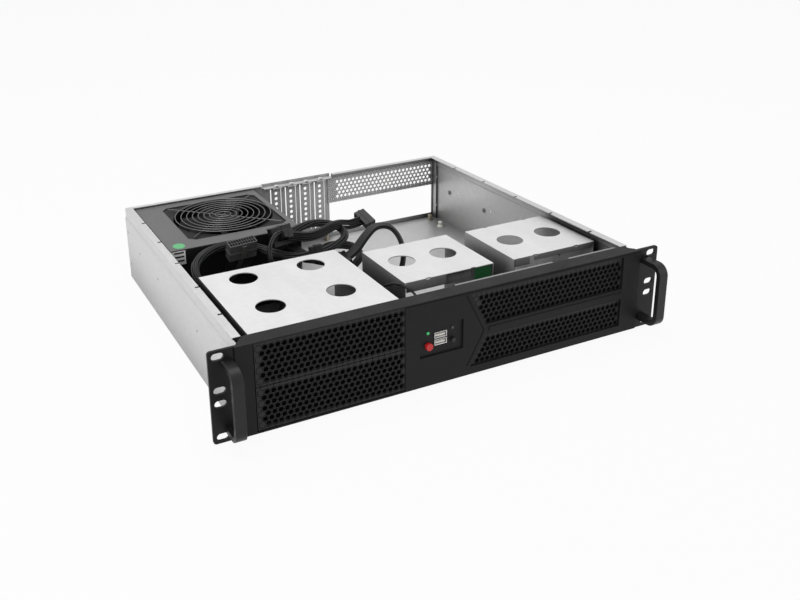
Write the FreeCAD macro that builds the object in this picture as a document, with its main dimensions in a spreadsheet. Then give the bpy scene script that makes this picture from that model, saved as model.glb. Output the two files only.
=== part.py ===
"""Open 2U rackmount server case, 482.6 mm over the rack ears, with its power supply fitted.

Millimetres.  X runs to the right seen from the front, Y to the back and Z up.  The origin is on the
underside of the case, in the middle of its width and of its depth from handles to card bracket lip.
"""
import FreeCAD
import Part
import Sketcher
import math
import os
import re

V = FreeCAD.Vector

SIZES = {
    # whole case
    "panel_width": 482.6, "case_width": 430, "case_height": 88, "case_depth": 390,
    "front": -183, "rear_proud": 4, "gauge": 1, "flange": 9, "jog_height": 76,
    # rack ears and handles
    "ear_gauge": 2.5, "ear_flange": 33, "slot_across": 465.1, "slot_outer": 38.1, "slot_inner": 6.35,
    "slot_length": 11, "slot_width": 6.8,
    "handle_across": 450, "handle_width": 10, "handle_bar": 5, "handle_reach": 28, "handle_height": 68,
    "handle_bend": 12,
    # moulded front
    "fascia_width": 436, "fascia_skin": 2, "fascia_lip": 15, "lip_skin": 1.7,
    "bay_left": -201, "bay_right": -56.3, "bay_low": 2.6, "bay_middle": 44.7, "bay_high": 86.4,
    "panel_left": -40.3, "panel_right": 6.7, "panel_low": 31, "panel_high": 61.3,
    "chevron_top": 13.2, "chevron_tip": 32.6, "chevron_width": 1.4, "mesh_right": 196,
    "mesh_high": 84.4, "mesh_low": 8.6, "ridge_half": 5.8, "mesh_pitch": 12.2, "mesh_hole": 8.8,
    # controls
    "power_x": -30.3, "power_z": 41.2, "power_radius": 3.6, "reset_x": -4.3, "reset_z": 42.5,
    "reset_radius": 2.2, "led_power_x": -30.7, "led_drive_x": -4.3, "led_z": 54.5, "led_radius": 1.5,
    "port_x": -17.6, "port_width": 13.2, "port_height": 5.8, "port_pitch": 7.2, "port_z": 47.3,
    "board_y": 9.2, "board_gauge": 1.6,
    # drive cages
    "optical_left": -198.5, "optical_right": -50.5, "optical_front": 17, "optical_back": 155,
    "optical_top": 86, "optical_hole": 14.2,
    "drive_width": 103, "drive_depth": 90, "drive_top": 80, "drive_hole": 14,
    "middle_left": -22, "middle_front": 57.5, "right_left": 104, "right_front": 55,
    # rear wall
    "io_left": 53.7, "io_low": 6.5, "io_high": 48, "vent_left": 64, "vent_right": 206.5,
    "vent_low": 54, "vent_high": 80.5, "slot_four": 39.85, "post_right": 201.7,
    "slot_pitch": 20.32, "slot_open": 15.4, "cover_wide": 12.6, "slot_low": 16, "slot_high": 80,
    "notch_right": 57.5, "shelf_height": 83,
    # power supply
    "supply_left": -204, "supply_right": -54, "supply_front": 234, "supply_back": 388.5,
    "supply_low": 1.5, "supply_top": 86, "fan_x": -118, "fan_y": 312, "fan_size": 120, "fan_deep": 25,
    "fan_bore": 57.5, "hub_radius": 20, "wire": 1.5, "wire_rings": 8, "wire_first": 9, "wire_step": 6.6,
    # screws
    "screw_head": 3.2, "screw_shank": 1.5,
    # cables, outside diameters
    "main_cable": 9, "cpu_cable": 7, "drive_cable": 7, "sata_cable": 7.5, "spare_cable": 7.5,
    "panel_cable": 3,
}

doc = FreeCAD.newDocument("server_case")
sheet = doc.addObject("Spreadsheet::Sheet", "dims")
for row, (alias, size) in enumerate(SIZES.items(), 1):
    sheet.set(f"A{row}", alias)
    sheet.set(f"B{row}", str(size))
    sheet.setAlias(f"B{row}", alias)
doc.recompute()

WORD = re.compile(r"[a-z_]+")
PLANES = {"XY": "XY_Plane", "XZ": "XZ_Plane", "YZ": "YZ_Plane"}


def expand(rule):
    """A rule such as 'case_width / 2 - gauge' with each size name pointed at the spreadsheet."""
    return WORD.sub(lambda word: f"dims.{word[0]}" if word[0] in SIZES else word[0], str(rule))


def bind(thing, prop, rule):
    thing.setExpression(prop, expand(rule))


def number(rule):
    return float(sheet.evalExpression(expand(rule)))


def place(thing, x="0", y="0", z="0"):
    for axis, rule in zip("xyz", (x, y, z)):
        bind(thing, f"Placement.Base.{axis}", rule)
    return thing


# ---- plain solids -------------------------------------------------------------------------------

def block(name, x, y, z):
    """A box between a low and a high rule on each axis."""
    box = doc.addObject("Part::Box", name)
    for prop, (low, high) in zip(("Length", "Width", "Height"), (x, y, z)):
        bind(box, prop, f"({high}) - ({low})")
    return place(box, x[0], y[0], z[0])


TURNS = {"x": (V(0, 1, 0), 90), "y": (V(1, 0, 0), -90), "z": (V(0, 0, 1), 0)}


def rod(name, axis, radius, at, length):
    """A cylinder that starts at a point and runs towards +axis."""
    cylinder = doc.addObject("Part::Cylinder", name)
    cylinder.Placement = FreeCAD.Placement(V(), FreeCAD.Rotation(*TURNS[axis]))
    bind(cylinder, "Radius", radius)
    bind(cylinder, "Height", length)
    return place(cylinder, *at)


def fuse(name, shapes):
    joined = doc.addObject("Part::MultiFuse", name)
    joined.Shapes = shapes
    return joined


def cut(name, base, tools):
    """The base less the tools."""
    less = doc.addObject("Part::Cut", name)
    less.Base = base
    less.Tool = tools[0] if len(tools) == 1 else fuse(f"{name}_tools", tools)
    return less


def group(name, solids):
    """Separate solids kept under one name, for fasteners."""
    together = doc.addObject("Part::Compound", name)
    together.Links = solids
    return together


def mirror(name, source):
    """The same piece on the other side of the case."""
    other = doc.addObject("Part::Mirroring", name)
    other.Source = source
    other.Normal = V(1, 0, 0)
    return other


def built(name, shape):
    """A piece whose shape neither a sketch nor a primitive fits."""
    feature = doc.addObject("Part::Feature", name)
    feature.Shape = shape
    return feature


# ---- bodies with sketches -----------------------------------------------------------------------

def rect(left, low, right, high):
    return [(left, low), (right, low), (right, high), (left, high)]


def sketch(body, name, plane, at, loops):
    """A sketch of closed loops on a plane moved to 'at': corner lists, or (x, y, radius) circles."""
    drawing = body.newObject("Sketcher::SketchObject", name)
    for origin_plane in body.Origin.OriginFeatures:
        if origin_plane.Role == PLANES[plane]:
            drawing.AttachmentSupport = [(origin_plane, "")]
    drawing.MapMode = "FlatFace"
    bind(drawing, "AttachmentOffset.Base.z", f"-({at})" if plane == "XZ" else at)
    for loop in loops:
        first = drawing.GeometryCount
        if isinstance(loop, tuple):
            x, y, radius = loop
            drawing.addGeometry(Part.Circle(V(number(x), number(y), 0), V(0, 0, 1), number(radius)))
            hold(drawing, first, 3, x, y)
            spot = drawing.addConstraint(Sketcher.Constraint("Radius", first, number(radius)))
            bind(drawing, f"Constraints[{spot}]", radius)
            continue
        corners = [V(number(x), number(y), 0) for x, y in loop]
        for start, end in zip(corners, corners[1:] + corners[:1]):
            drawing.addGeometry(Part.LineSegment(start, end))
        for i, (x, y) in enumerate(loop):
            after = first + (i + 1) % len(loop)
            drawing.addConstraint(Sketcher.Constraint("Coincident", first + i, 2, after, 1))
            hold(drawing, first + i, 1, x, y)
    return drawing


def hold(drawing, line, end, x, y):
    """Ties one point of a sketch to rules for its two coordinates."""
    for kind, rule in (("DistanceX", x), ("DistanceY", y)):
        spot = drawing.addConstraint(Sketcher.Constraint(kind, -1, 1, line, end, number(rule)))
        bind(drawing, f"Constraints[{spot}]", rule)


def pad(body, name, plane, at, length, loops):
    """Adds the loops, from 'at' towards the plane's + side."""
    feature = body.newObject("PartDesign::Pad", name)
    feature.Profile = sketch(body, f"{name}_sketch", plane, at, loops)
    feature.Reversed = plane == "XZ"
    bind(feature, "Length", length)
    return feature


def pocket(body, name, plane, at, length, loops):
    """Takes the loops away, from 'at' towards the plane's + side."""
    feature = body.newObject("PartDesign::Pocket", name)
    feature.Profile = sketch(body, f"{name}_sketch", plane, at, loops)
    feature.Reversed = plane != "XZ"
    bind(feature, "Length", length)
    return feature


def new_body(name):
    return doc.addObject("PartDesign::Body", name)


def round_edges(body, name, radius, wanted):
    """Rounds the edges of the body so far that the test picks out."""
    doc.recompute()
    base = body.Tip
    edges = [f"Edge{i}" for i, edge in enumerate(base.Shape.Edges, 1) if wanted(edge)]
    fillet = body.newObject("PartDesign::Fillet", name)
    fillet.Base = (base, edges)
    bind(fillet, "Radius", radius)
    return fillet


def along(edge, axis):
    """True for a straight edge that runs along the axis."""
    if edge.Curve.TypeId != "Part::GeomLine":
        return False
    return abs(abs(edge.tangentAt(edge.FirstParameter).dot(axis)) - 1) < 1e-6


# ---- perforation --------------------------------------------------------------------------------

def perforation(name, plane, window, at, depth):
    """Six-sided holes in staggered rows that fill a convex window, as one tool for a cut."""
    pitch, hole = number("mesh_pitch"), number("mesh_hole")
    row_step = pitch * math.sqrt(3) / 2
    corners = [V(number(x), number(y), 0) for x, y in window]
    low, high = min(c.y for c in corners), max(c.y for c in corners)
    left, right = min(c.x for c in corners), max(c.x for c in corners)
    rows = int((high - low - hole) / row_step) + 1
    columns = int((right - left - hole) / pitch) + 1
    first_y = (low + high - (rows - 1) * row_step) / 2
    first_x = right - hole / 2 - (columns - 1) * pitch

    def inside(centre):
        for start, end in zip(corners, corners[1:] + corners[:1]):
            side = end - start
            if side.cross(centre - start).z / side.Length < hole / 2 - 0.1:
                return False
        return True

    prisms = []
    for row in range(rows):
        for column in range(-1, columns + 1):
            centre = V(first_x + (column - (row % 2) / 2) * pitch, first_y + row * row_step, 0)
            if not inside(centre):
                continue
            reach = hole / math.sqrt(3)
            ring = [centre + V(reach * math.cos(a), reach * math.sin(a), 0)
                    for a in (math.radians(30 + 60 * k) for k in range(7))]
            face = Part.Face(Part.makePolygon(ring))
            prisms.append(face.extrude(V(0, 0, number(depth))))
    tool = Part.makeCompound(prisms)
    if plane == "XZ":
        tool.rotate(V(), V(1, 0, 0), 90)
        tool.translate(V(0, number(at) + number(depth), 0))
    else:
        tool.translate(V(0, 0, number(at)))
    return built(name, tool)


# ==== case shell =================================================================================

# Centres of the nine board posts, on the pattern that compact and larger main boards share.
POSTS = [(f"post_right - {x}", f"front + 378.8 - {y}") for x in (0, 157.48, 203.2) for y in (0, 154.94, 227.33)]


def make_tray():
    """Floor and both sides, folded from one galvanised sheet.  Above the jog line the sides step in
    by the sheet's thickness, and their tops turn inwards to carry the missing lid."""
    half = []
    for x, z in (
        ("case_width / 2", "0"), ("case_width / 2", "jog_height"),
        ("case_width / 2 - gauge", "jog_height + 1.5"), ("case_width / 2 - gauge", "case_height"),
        ("case_width / 2 - flange", "case_height"), ("case_width / 2 - flange", "case_height - gauge"),
        ("case_width / 2 - 2 * gauge", "case_height - gauge"),
        ("case_width / 2 - 2 * gauge", "jog_height + 1.5"), ("case_width / 2 - gauge", "jog_height"),
        ("case_width / 2 - gauge", "gauge"),
    ):
        half.append((x, z))
    section = half + [(f"-({x})", z) for x, z in reversed(half)]
    tray = new_body("chassis_tray")
    pad(tray, "tray_fold", "XZ", "front + ear_gauge + 0.1", "case_depth - ear_gauge - 0.1", [section])
    pocket(tray, "lip_gap_top", "XY", "case_height - 1.6", "2", [
        rect("-case_width / 2 - 1", "front", "case_width / 2 + 1", "front + fascia_lip + 0.2")])
    pocket(tray, "lip_gap_floor", "XY", "-0.5", "2.4", [
        rect("-case_width / 2 + gauge", "front", "case_width / 2 - gauge", "front + fascia_lip + 0.2")])
    notch_places = ("front + 62", "front + 128", "front + 194", "front + 260", "front + 326")
    for side in (-1, 1):
        loops = []
        for y in notch_places:
            inner = f"{side} * (case_width / 2 - flange - 1)"
            deep = f"{side} * (case_width / 2 - flange + 4)"
            low, high = (inner, deep) if side > 0 else (deep, inner)
            loops.append(rect(low, y, high, f"{y} + 3"))
        pocket(tray, f"lid_notches_{'left' if side < 0 else 'right'}", "XY", "case_height - 1.5", "2", loops)
    pocket(tray, "side_holes", "YZ", "-case_width / 2 - 1", "case_width + 2", [
        (y, z, "1.3") for y, z in (("147", "50.9"), ("71.2", "49.2"), ("-65.9", "48.8"), ("199.3", "18.9"),
                                   ("199.3", "60"))])
    pocket(tray, "post_holes", "XY", "-1", "3", [(x, y, "1.8") for x, y in POSTS])
    return tray


def make_front_wall():
    """Steel wall behind the moulded front, with the optical bay's opening and two air openings."""
    wall = new_body("front_wall")
    pad(wall, "wall_sheet", "XZ", "front + 16", "gauge", [
        rect("-(case_width / 2 - 3.4)", "gauge", "case_width / 2 - 3.4", "case_height - 3"),
        rect("optical_left", "3.5", "optical_right", "case_height - 4.5"),
        rect("panel_left + 6", "panel_low + 8", "panel_right - 6", "panel_high + 4"),
        ("62", "43", "30"), ("150", "43", "34")])
    pad(wall, "top_turn", "XY", "case_height - 4", "gauge", [[
        ("optical_right + 4", "front + 17"), ("206", "front + 17"), ("206", "front + 23"),
        ("146", "front + 23"), ("146", "front + 20"), ("126", "front + 20"), ("126", "front + 23"),
        ("12", "front + 23"), ("12", "front + 20"), ("optical_right + 4", "front + 20")]])
    return wall


def make_rear_panel():
    """Rear wall riveted between the sides: an opening for the ports and the perforated sheet over
    them, four card slots, and the power supply's opening."""
    panel = new_body("rear_panel")
    back = "front + case_depth - gauge"
    loops = [
        rect("-(case_width / 2 - 2.2)", "gauge", "case_width / 2 - 2.2", "shelf_height"),
        rect("io_left", "io_low", "case_width / 2 - 5", "vent_high"),
        rect("supply_left + 6", "6", "supply_right - 6", "shelf_height - 3"),
    ]
    for index in range(4):
        centre = f"slot_four - {index} * slot_pitch"
        loops.append(rect(f"{centre} - slot_open / 2", "slot_low", f"{centre} + slot_open / 2", "slot_high"))
    pad(panel, "rear_sheet", "XZ", back, "gauge", loops)
    for name, left, right in (("right", "notch_right", "case_width / 2 - 2.2"),
                              ("left", "-(case_width / 2 - 2.2)", "supply_right + 14")):
        pad(panel, f"upper_{name}", "XZ", back, "gauge",
            [rect(left, "shelf_height", right, "case_height - gauge")])
        inner = ("case_width / 2 - flange", "-(case_width / 2 - flange)")[name == "left"]
        span = (inner, right) if name == "left" else (left, inner)
        pad(panel, f"top_turn_{name}", "XY", "case_height - gauge", "gauge",
            [rect(span[0], f"{back} - 5", span[1], f"{back} + gauge")])
    for side, low, high in ((-1, "-(case_width / 2 - 2.2)", "-(case_width / 2 - 3.2)"),
                            (1, "case_width / 2 - 3.2", "case_width / 2 - 2.2")):
        pad(panel, f"side_turn_{'left' if side < 0 else 'right'}", "XY", "gauge", "case_height - 2 * gauge",
            [rect(low, f"{back} - 9" if side > 0 else f"{back} - 0.3", high, back)])
    return panel


def make_rear_vent():
    """Perforated sheet spot-welded behind the rear wall.  Its lower edge is the top of the ports
    opening."""
    inner = "front + case_depth - 2 * gauge"
    blank = block("vent_blank", ("io_left - 2.4", "case_width / 2 - 3.4"), (f"{inner} + 0.2", f"{inner} + gauge"),
                  ("io_high", "vent_high + 2"))
    return cut("rear_vent", blank, [perforation(
        "vent_holes", "XZ", rect("vent_left", "vent_low", "vent_right", "vent_high"), f"{inner} - 0.5", "2")])


def make_bracket_clamp():
    """Bar over the tops of the card slot covers, with the lip that stands out of the back."""
    clamp = new_body("card_bracket_clamp")
    section = [
        ("front + case_depth - 7", "shelf_height"), ("front + case_depth + rear_proud", "shelf_height"),
        ("front + case_depth + rear_proud", "case_height - 0.4"),
        ("front + case_depth + rear_proud - gauge", "case_height - 0.4"),
        ("front + case_depth + rear_proud - gauge", "shelf_height + gauge"),
        ("front + case_depth - 7", "shelf_height + gauge")]
    pad(clamp, "clamp_bar", "YZ", "supply_right + 15", "notch_right - 1 - supply_right - 15", [section])
    return clamp


def make_slot_cover(index):
    """Blank of one card slot: a narrow plate with a row of holes and a turned tab at its top."""
    centre = f"slot_four - {4 - index} * slot_pitch"
    cover = new_body(f"slot_cover_{index}")
    holes = []
    for k in range(8):
        middle = f"slot_low + 9 + {k} * 7"
        holes.append([(f"{centre} + 2.3 * cos({60 * i + 30})", f"{middle} + 2.3 * sin({60 * i + 30})")
                      for i in range(6)])
    pad(cover, f"cover_plate_{index}", "XZ", "front + case_depth - gauge - 0.9", "0.9", [
        rect(f"{centre} - cover_wide / 2", "slot_low - 6", f"{centre} + cover_wide / 2", "shelf_height")]
        + holes)
    pad(cover, f"cover_tab_{index}", "XY", "shelf_height - 0.9", "0.9", [
        rect(f"{centre} - cover_wide / 2", "front + case_depth - 9", f"{centre} + cover_wide / 2",
             "front + case_depth - gauge")])
    return cover


def make_standoffs():
    """Hexagonal pillars for the board, tapped through, on the compact board's hole pattern."""
    pillars = []
    for index, (x, y) in enumerate(POSTS):
        name = f"pillar_{index}"
        post = doc.addObject("Part::Prism", f"{name}_post")
        post.Polygon = 6
        bind(post, "Circumradius", "3.2")
        bind(post, "Height", "6.5")
        place(post, x, y, "gauge")
        pillars.append(cut(name, post, [rod(f"{name}_bore", "z", "screw_shank", (x, y, "gauge"), "7")]))
    return group("board_standoffs", pillars)


# ==== rack ears and handles ======================================================================

def make_ear():
    """Left ear: a plate with four rack slots, folded back along the inside of the case wall."""
    plate = block("ear_plate", ("-panel_width / 2", "-case_width / 2"),
                  ("front", "front + ear_gauge"), ("0", "case_height"))
    turn = block("ear_turn", ("-case_width / 2 + gauge + 0.1", "-case_width / 2 + gauge + 2.1"),
                 ("front", "front + ear_flange"), ("5", "jog_height - 3"))
    neck = block("ear_neck", ("-case_width / 2 - 1", "-case_width / 2 + gauge + 2.1"),
                 ("front", "front + ear_gauge"), ("5", "jog_height - 3"))
    holes = []
    for row, z in enumerate(("-slot_outer", "-slot_inner", "slot_inner", "slot_outer")):
        centre = f"case_height / 2 + ({z})"
        holes.append(block(f"ear_slot_{row}",
                           ("-slot_across / 2 - (slot_length - slot_width) / 2",
                            "-slot_across / 2 + (slot_length - slot_width) / 2"),
                           ("front - 1", "front + ear_gauge + 1"),
                           (f"{centre} - slot_width / 2", f"{centre} + slot_width / 2")))
        for end, shift in (("a", "-"), ("b", "+")):
            x = f"-slot_across / 2 {shift} (slot_length - slot_width) / 2"
            holes.append(rod(f"ear_slot_{row}_{end}", "y", "slot_width / 2",
                             (x, "front - 1", centre), "ear_gauge + 2"))
    ear = cut("ear_blank", fuse("ear_fold", [plate, neck, turn]), holes)
    doc.recompute()
    corners = [i for i, edge in enumerate(ear.Shape.Edges, 1)
               if along(edge, V(0, 1, 0)) and edge.CenterOfMass.x < number("-panel_width / 2 + 1")]
    rounded = doc.addObject("Part::Fillet", "left_ear")
    rounded.Base = ear
    rounded.Edges = [(i, 3, 3) for i in corners]
    return rounded


def make_handle():
    """Left handle: a flat bar bent into a U that stands out of the ear."""
    handle = new_body("left_handle")
    low = "(case_height - handle_height) / 2"
    high = "(case_height + handle_height) / 2"
    pad(handle, "handle_strap", "YZ", "-handle_across / 2 - handle_width / 2", "handle_width",
        [rect("front - handle_reach", low, "front", high)])
    pocket(handle, "handle_gap", "YZ", "-handle_across / 2 - handle_width / 2", "handle_width",
           [rect("front - handle_reach + handle_bar", f"{low} + handle_bar", "front + 1",
                 f"{high} - handle_bar")])
    outer, inner = number("front - handle_reach"), number("front - handle_reach + handle_bar")
    round_edges(handle, "outer_bends", "handle_bend",
                lambda edge: along(edge, V(1, 0, 0)) and abs(edge.CenterOfMass.y - outer) < 0.01)
    round_edges(handle, "inner_bends", "handle_bend - handle_bar",
                lambda edge: along(edge, V(1, 0, 0)) and abs(edge.CenterOfMass.y - inner) < 0.01)
    return handle


# ==== moulded front ==============================================================================

def upper_window(grow=0):
    return [(f"chevron_tip - 0.5 - {grow}", f"case_height / 2 + ridge_half - {grow}"),
            (f"mesh_right + {grow}", f"case_height / 2 + ridge_half - {grow}"),
            (f"mesh_right + {grow}", f"mesh_high + {grow}"), (f"chevron_top - {grow}", f"mesh_high + {grow}")]


def lower_window(grow=0):
    return [(f"chevron_top + 2 - {grow}", f"mesh_low - {grow}"), (f"mesh_right + {grow}", f"mesh_low - {grow}"),
            (f"mesh_right + {grow}", f"case_height / 2 - ridge_half + {grow}"),
            (f"chevron_tip - 0.5 - {grow}", f"case_height / 2 - ridge_half + {grow}")]


def make_fascia():
    """Black moulded front: one skin with lips along its top and bottom, the bay opening, the control
    window and two mesh windows whose left ends meet in an arrow."""
    fascia = new_body("front_fascia")
    pad(fascia, "fascia_plate", "XZ", "front - fascia_skin", "fascia_skin", [
        rect("-fascia_width / 2", "0.5", "fascia_width / 2", "case_height"),
        rect("bay_left - 1", "bay_low - 0.6", "bay_right + 1", "bay_high + 0.3"),
        rect("panel_left", "panel_low", "panel_right", "panel_high"),
        upper_window(), lower_window()])
    pad(fascia, "top_lip", "XY", "case_height - lip_skin + 0.3", "lip_skin - 0.3", [[
        ("-case_width / 2 + 0.2", "front"), ("case_width / 2 - 0.2", "front"), ("case_width / 2 - 0.2", "front + 4"),
        ("case_width / 2 - 10", "front + fascia_lip"), ("-case_width / 2 + 10", "front + fascia_lip"),
        ("-case_width / 2 + 0.2", "front + 4")]])
    pad(fascia, "bottom_lip", "XY", "0.5", "1.2", [
        rect("-case_width / 2 + 1", "front", "case_width / 2 - 1", "front + fascia_lip - 2")])
    pad(fascia, "ridge", "XZ", "front - fascia_skin - 0.9", "0.9", [
        rect("chevron_tip + 3", "case_height / 2 - 2.2", "mesh_right", "case_height / 2 + 2.2")])
    arrow = []
    for side in ("-", "+"):
        line = [(f"chevron_top - 4 {side} chevron_width / 2", "84.6"),
                (f"chevron_tip - 3 {side} chevron_width / 2", "case_height / 2"),
                (f"chevron_top - 2 {side} chevron_width / 2", "10.3")]
        arrow += line if side == "-" else line[::-1]
    pocket(fascia, "arrow_groove", "XZ", "front - fascia_skin", "0.8", [arrow])
    pocket(fascia, "strip_groove", "XZ", "front - fascia_skin", "0.9", [
        rect("bay_right + 1", "bay_high - 0.4", "fascia_width / 2 - 1", "bay_high + 0.4")])
    return fascia


def make_mesh():
    """Perforated steel sheet clipped behind the two mesh windows."""
    blank = block("mesh_blank", ("chevron_top - 4", "mesh_right + 4"), ("front", "front + 0.8"),
                  ("mesh_low - 3.5", "mesh_high + 1.2"))
    return cut("front_mesh", blank, [
        perforation("upper_holes", "XZ", upper_window(), "front - 0.5", "2"),
        perforation("lower_holes", "XZ", lower_window(), "front - 0.5", "2")])


def make_bay_cover(name, low, high):
    """Blank of one 5.25 inch bay: a perforated face on a shallow frame that clips into the cage."""
    face = block(f"{name}_face", ("bay_left", "bay_right"), ("front - 1.2", "front + 0.8"), (low, high))
    frame = block(f"{name}_frame", ("optical_left + gauge", "bay_right - 1.5"),
                  ("front + 0.5", "front + 18"), (f"{low} + 1.6", f"{high} - 3.2"))
    hollow = block(f"{name}_hollow", ("optical_left + gauge + 1.5", "bay_right - 3"),
                   ("front", "front + 19"), (f"{low} + 3", f"{high} - 4.6"))
    clips = [block(f"{name}_clip_{end}", ("bay_right - 2", "optical_right - gauge"),
                   ("front + 16.5", "front + 18"), (f"{z} - 4", f"{z} + 4"))
             for end, z in (("low", f"{low} + 12"), ("high", f"{high} - 12"))]
    holes = perforation(f"{name}_holes", "XZ",
                        rect("bay_left + 2.5", f"{low} + 2.4", "bay_right - 2.5", f"{high} - 2.4"),
                        "front - 2", "4")
    shell = cut(f"{name}_shell", frame, [hollow])
    return cut(name, fuse(f"{name}_solid", [face, shell] + clips), [holes])


def make_filters():
    """Black dust foam behind the two mesh windows and behind each bay cover."""
    filters = [block("grille_filter", ("chevron_top - 4", "mesh_right + 4"), ("front + 1", "front + 3"),
                     ("mesh_low - 3.5", "mesh_high + 1.2"))]
    for name, low, high in (("bay_filter_lower", "bay_low", "bay_middle - 0.4"),
                            ("bay_filter_upper", "bay_middle + 0.4", "bay_high")):
        filters.append(block(name, ("optical_left + gauge + 1.6", "bay_right - 3.1"), ("front + 1", "front + 3"),
                             (f"{low} + 3.1", f"{high} - 4.7")))
    return filters


# ==== controls ===================================================================================

def make_controls():
    """Plate behind the control window, its buttons, light pipes and ports, and the board they sit on."""
    plate = block("plate_blank", ("panel_left - 2.5", "panel_right + 1.5"), ("front", "front + 1.2"),
                  ("panel_low - 2.5", "panel_high + 2.5"))
    through = [
        rod("power_hole", "y", "power_radius + 0.25", ("power_x", "front - 1", "power_z"), "3"),
        rod("reset_hole", "y", "reset_radius + 0.25", ("reset_x", "front - 1", "reset_z"), "3"),
        rod("led_hole_power", "y", "led_radius", ("led_power_x", "front - 1", "led_z"), "3"),
        rod("led_hole_drive", "y", "led_radius", ("led_drive_x", "front - 1", "led_z"), "3"),
        block("port_hole", ("port_x - port_width / 2", "port_x + port_width / 2"), ("front - 1", "front + 2"),
              ("port_z - port_pitch / 2 - port_height / 2", "port_z + port_pitch / 2 + port_height / 2")),
    ]
    posts = [rod(f"plate_post_{i}", "y", "1.8", (x, "front + 1", z), "board_y - 1")
             for i, (x, z) in enumerate((("panel_left + 1", "panel_low + 1.5"),
                                         ("panel_right - 2", "panel_high - 1.5")))]
    control_plate = cut("control_plate", fuse("plate_solid", [plate] + posts), through)

    buttons = []
    for name, x, z, radius in (("power_button", "power_x", "power_z", "power_radius"),
                               ("reset_button", "reset_x", "reset_z", "reset_radius")):
        cap = rod(f"{name}_cap", "y", radius, (x, "front - 3.2", z), "5.2")
        collar = rod(f"{name}_collar", "y", f"{radius} + 1", (x, "front + 1.5", z), "0.9")
        stem = rod(f"{name}_stem", "y", "1.2", (x, "front + 2", z), "2")
        buttons.append(fuse(name, [cap, collar, stem]))

    leds = []
    for name, x in (("power_light", "led_power_x"), ("drive_light", "led_drive_x")):
        leds.append(rod(name, "y", "led_radius", (x, "front - 0.8", "led_z"), "board_y + 0.8"))

    board = block("control_board", ("panel_left - 1", "panel_right"),
                  ("front + board_y", "front + board_y + board_gauge"), ("panel_low", "panel_high"))
    switches = []
    for name, x, z in (("power_switch", "power_x", "power_z"), ("reset_switch", "reset_x", "reset_z")):
        body = block(f"{name}_body", (f"{x} - 3", f"{x} + 3"), ("front + 6.4", "front + board_y"),
                     (f"{z} - 3", f"{z} + 3"))
        plunger = rod(f"{name}_plunger", "y", "1.6", (x, "front + 5.8", z), "1")
        switches.append(fuse(name, [body, plunger]))

    shells, tongues = [], []
    for name, shift in (("lower", "-"), ("upper", "+")):
        middle = f"port_z {shift} port_pitch / 2"
        outer = block(f"port_{name}_outer", ("port_x - port_width / 2", "port_x + port_width / 2"),
                      ("front - 1.4", "front + board_y"),
                      (f"{middle} - port_height / 2", f"{middle} + port_height / 2"))
        inner = block(f"port_{name}_inner", ("port_x - port_width / 2 + 0.35", "port_x + port_width / 2 - 0.35"),
                      ("front - 2", "front + board_y - 0.5"),
                      (f"{middle} - port_height / 2 + 0.35", f"{middle} + port_height / 2 - 0.35"))
        shells.append(cut(f"port_{name}_shell", outer, [inner]))
        tongues.append(block(f"port_{name}_tongue", ("port_x - 5.6", "port_x + 5.6"),
                             ("front + 0.4", "front + board_y - 0.5"),
                             (f"{middle} {shift} 2", f"{middle} {shift} 0.2") if shift == "-" else
                             (f"{middle} - 2", f"{middle} - 0.2")))
    ports = group("port_shells", shells)
    port_tongues = group("port_tongues", tongues)
    return [control_plate, *buttons, *leds, board, group("tact_switches", switches), ports, port_tongues]


# ==== drive cages ================================================================================

def make_cage(name, left, right, near, far, top, holes, lips):
    """Upside-down U of galvanised sheet over the drives, with feet riveted to the floor.  Each lip is
    a tab turned down from the front edge: its left and right ends, how far it is set back, its drop."""
    cage = new_body(name)
    section = [
        (left, "gauge"), (f"{left} + gauge", "gauge"), (f"{left} + gauge", f"{top} - gauge"),
        (f"{right} - gauge", f"{top} - gauge"), (f"{right} - gauge", "gauge"), (right, "gauge"),
        (right, top), (left, top)]
    pad(cage, f"{name}_fold", "XZ", near, f"({far}) - ({near})", [section])
    pad(cage, f"{name}_feet", "XY", "gauge", "gauge", [
        rect(f"{left} - 7", f"{near} + {step}", left, f"{near} + {step} + 14")
        for step in (12, 60)])
    for index, (start, end, back, drop) in enumerate(lips):
        pad(cage, f"{name}_lip_{index}", "XZ", f"{near} + {back}", "gauge", [
            rect(f"{left} + {start}", f"{top} - {drop}", f"{left} + {end}", f"{top} - 0.5")])
    notches = []
    if lips:
        for x in (24, 76):
            notches.append(rect(f"{left} + {x}", f"{near} - 1", f"{left} + {x} + 5", f"{near} + 1.2"))
            notches.append(rect(f"{left} + {x}", f"{far} - 1.2", f"{left} + {x} + 5", f"{far} + 1"))
    pocket(cage, f"{name}_openings", "XY", f"{top} - 1.5", "2", holes + notches)
    slots = []
    for z in ("18", "44"):
        for step in (14, 52):
            slots.append(rect(f"{near} + {step}", z, f"{near} + {step} + 16", f"{z} + 4"))
    pocket(cage, f"{name}_side_slots", "YZ", f"{left} - 1", f"({right}) - ({left}) + 2", slots)
    return cage


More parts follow.
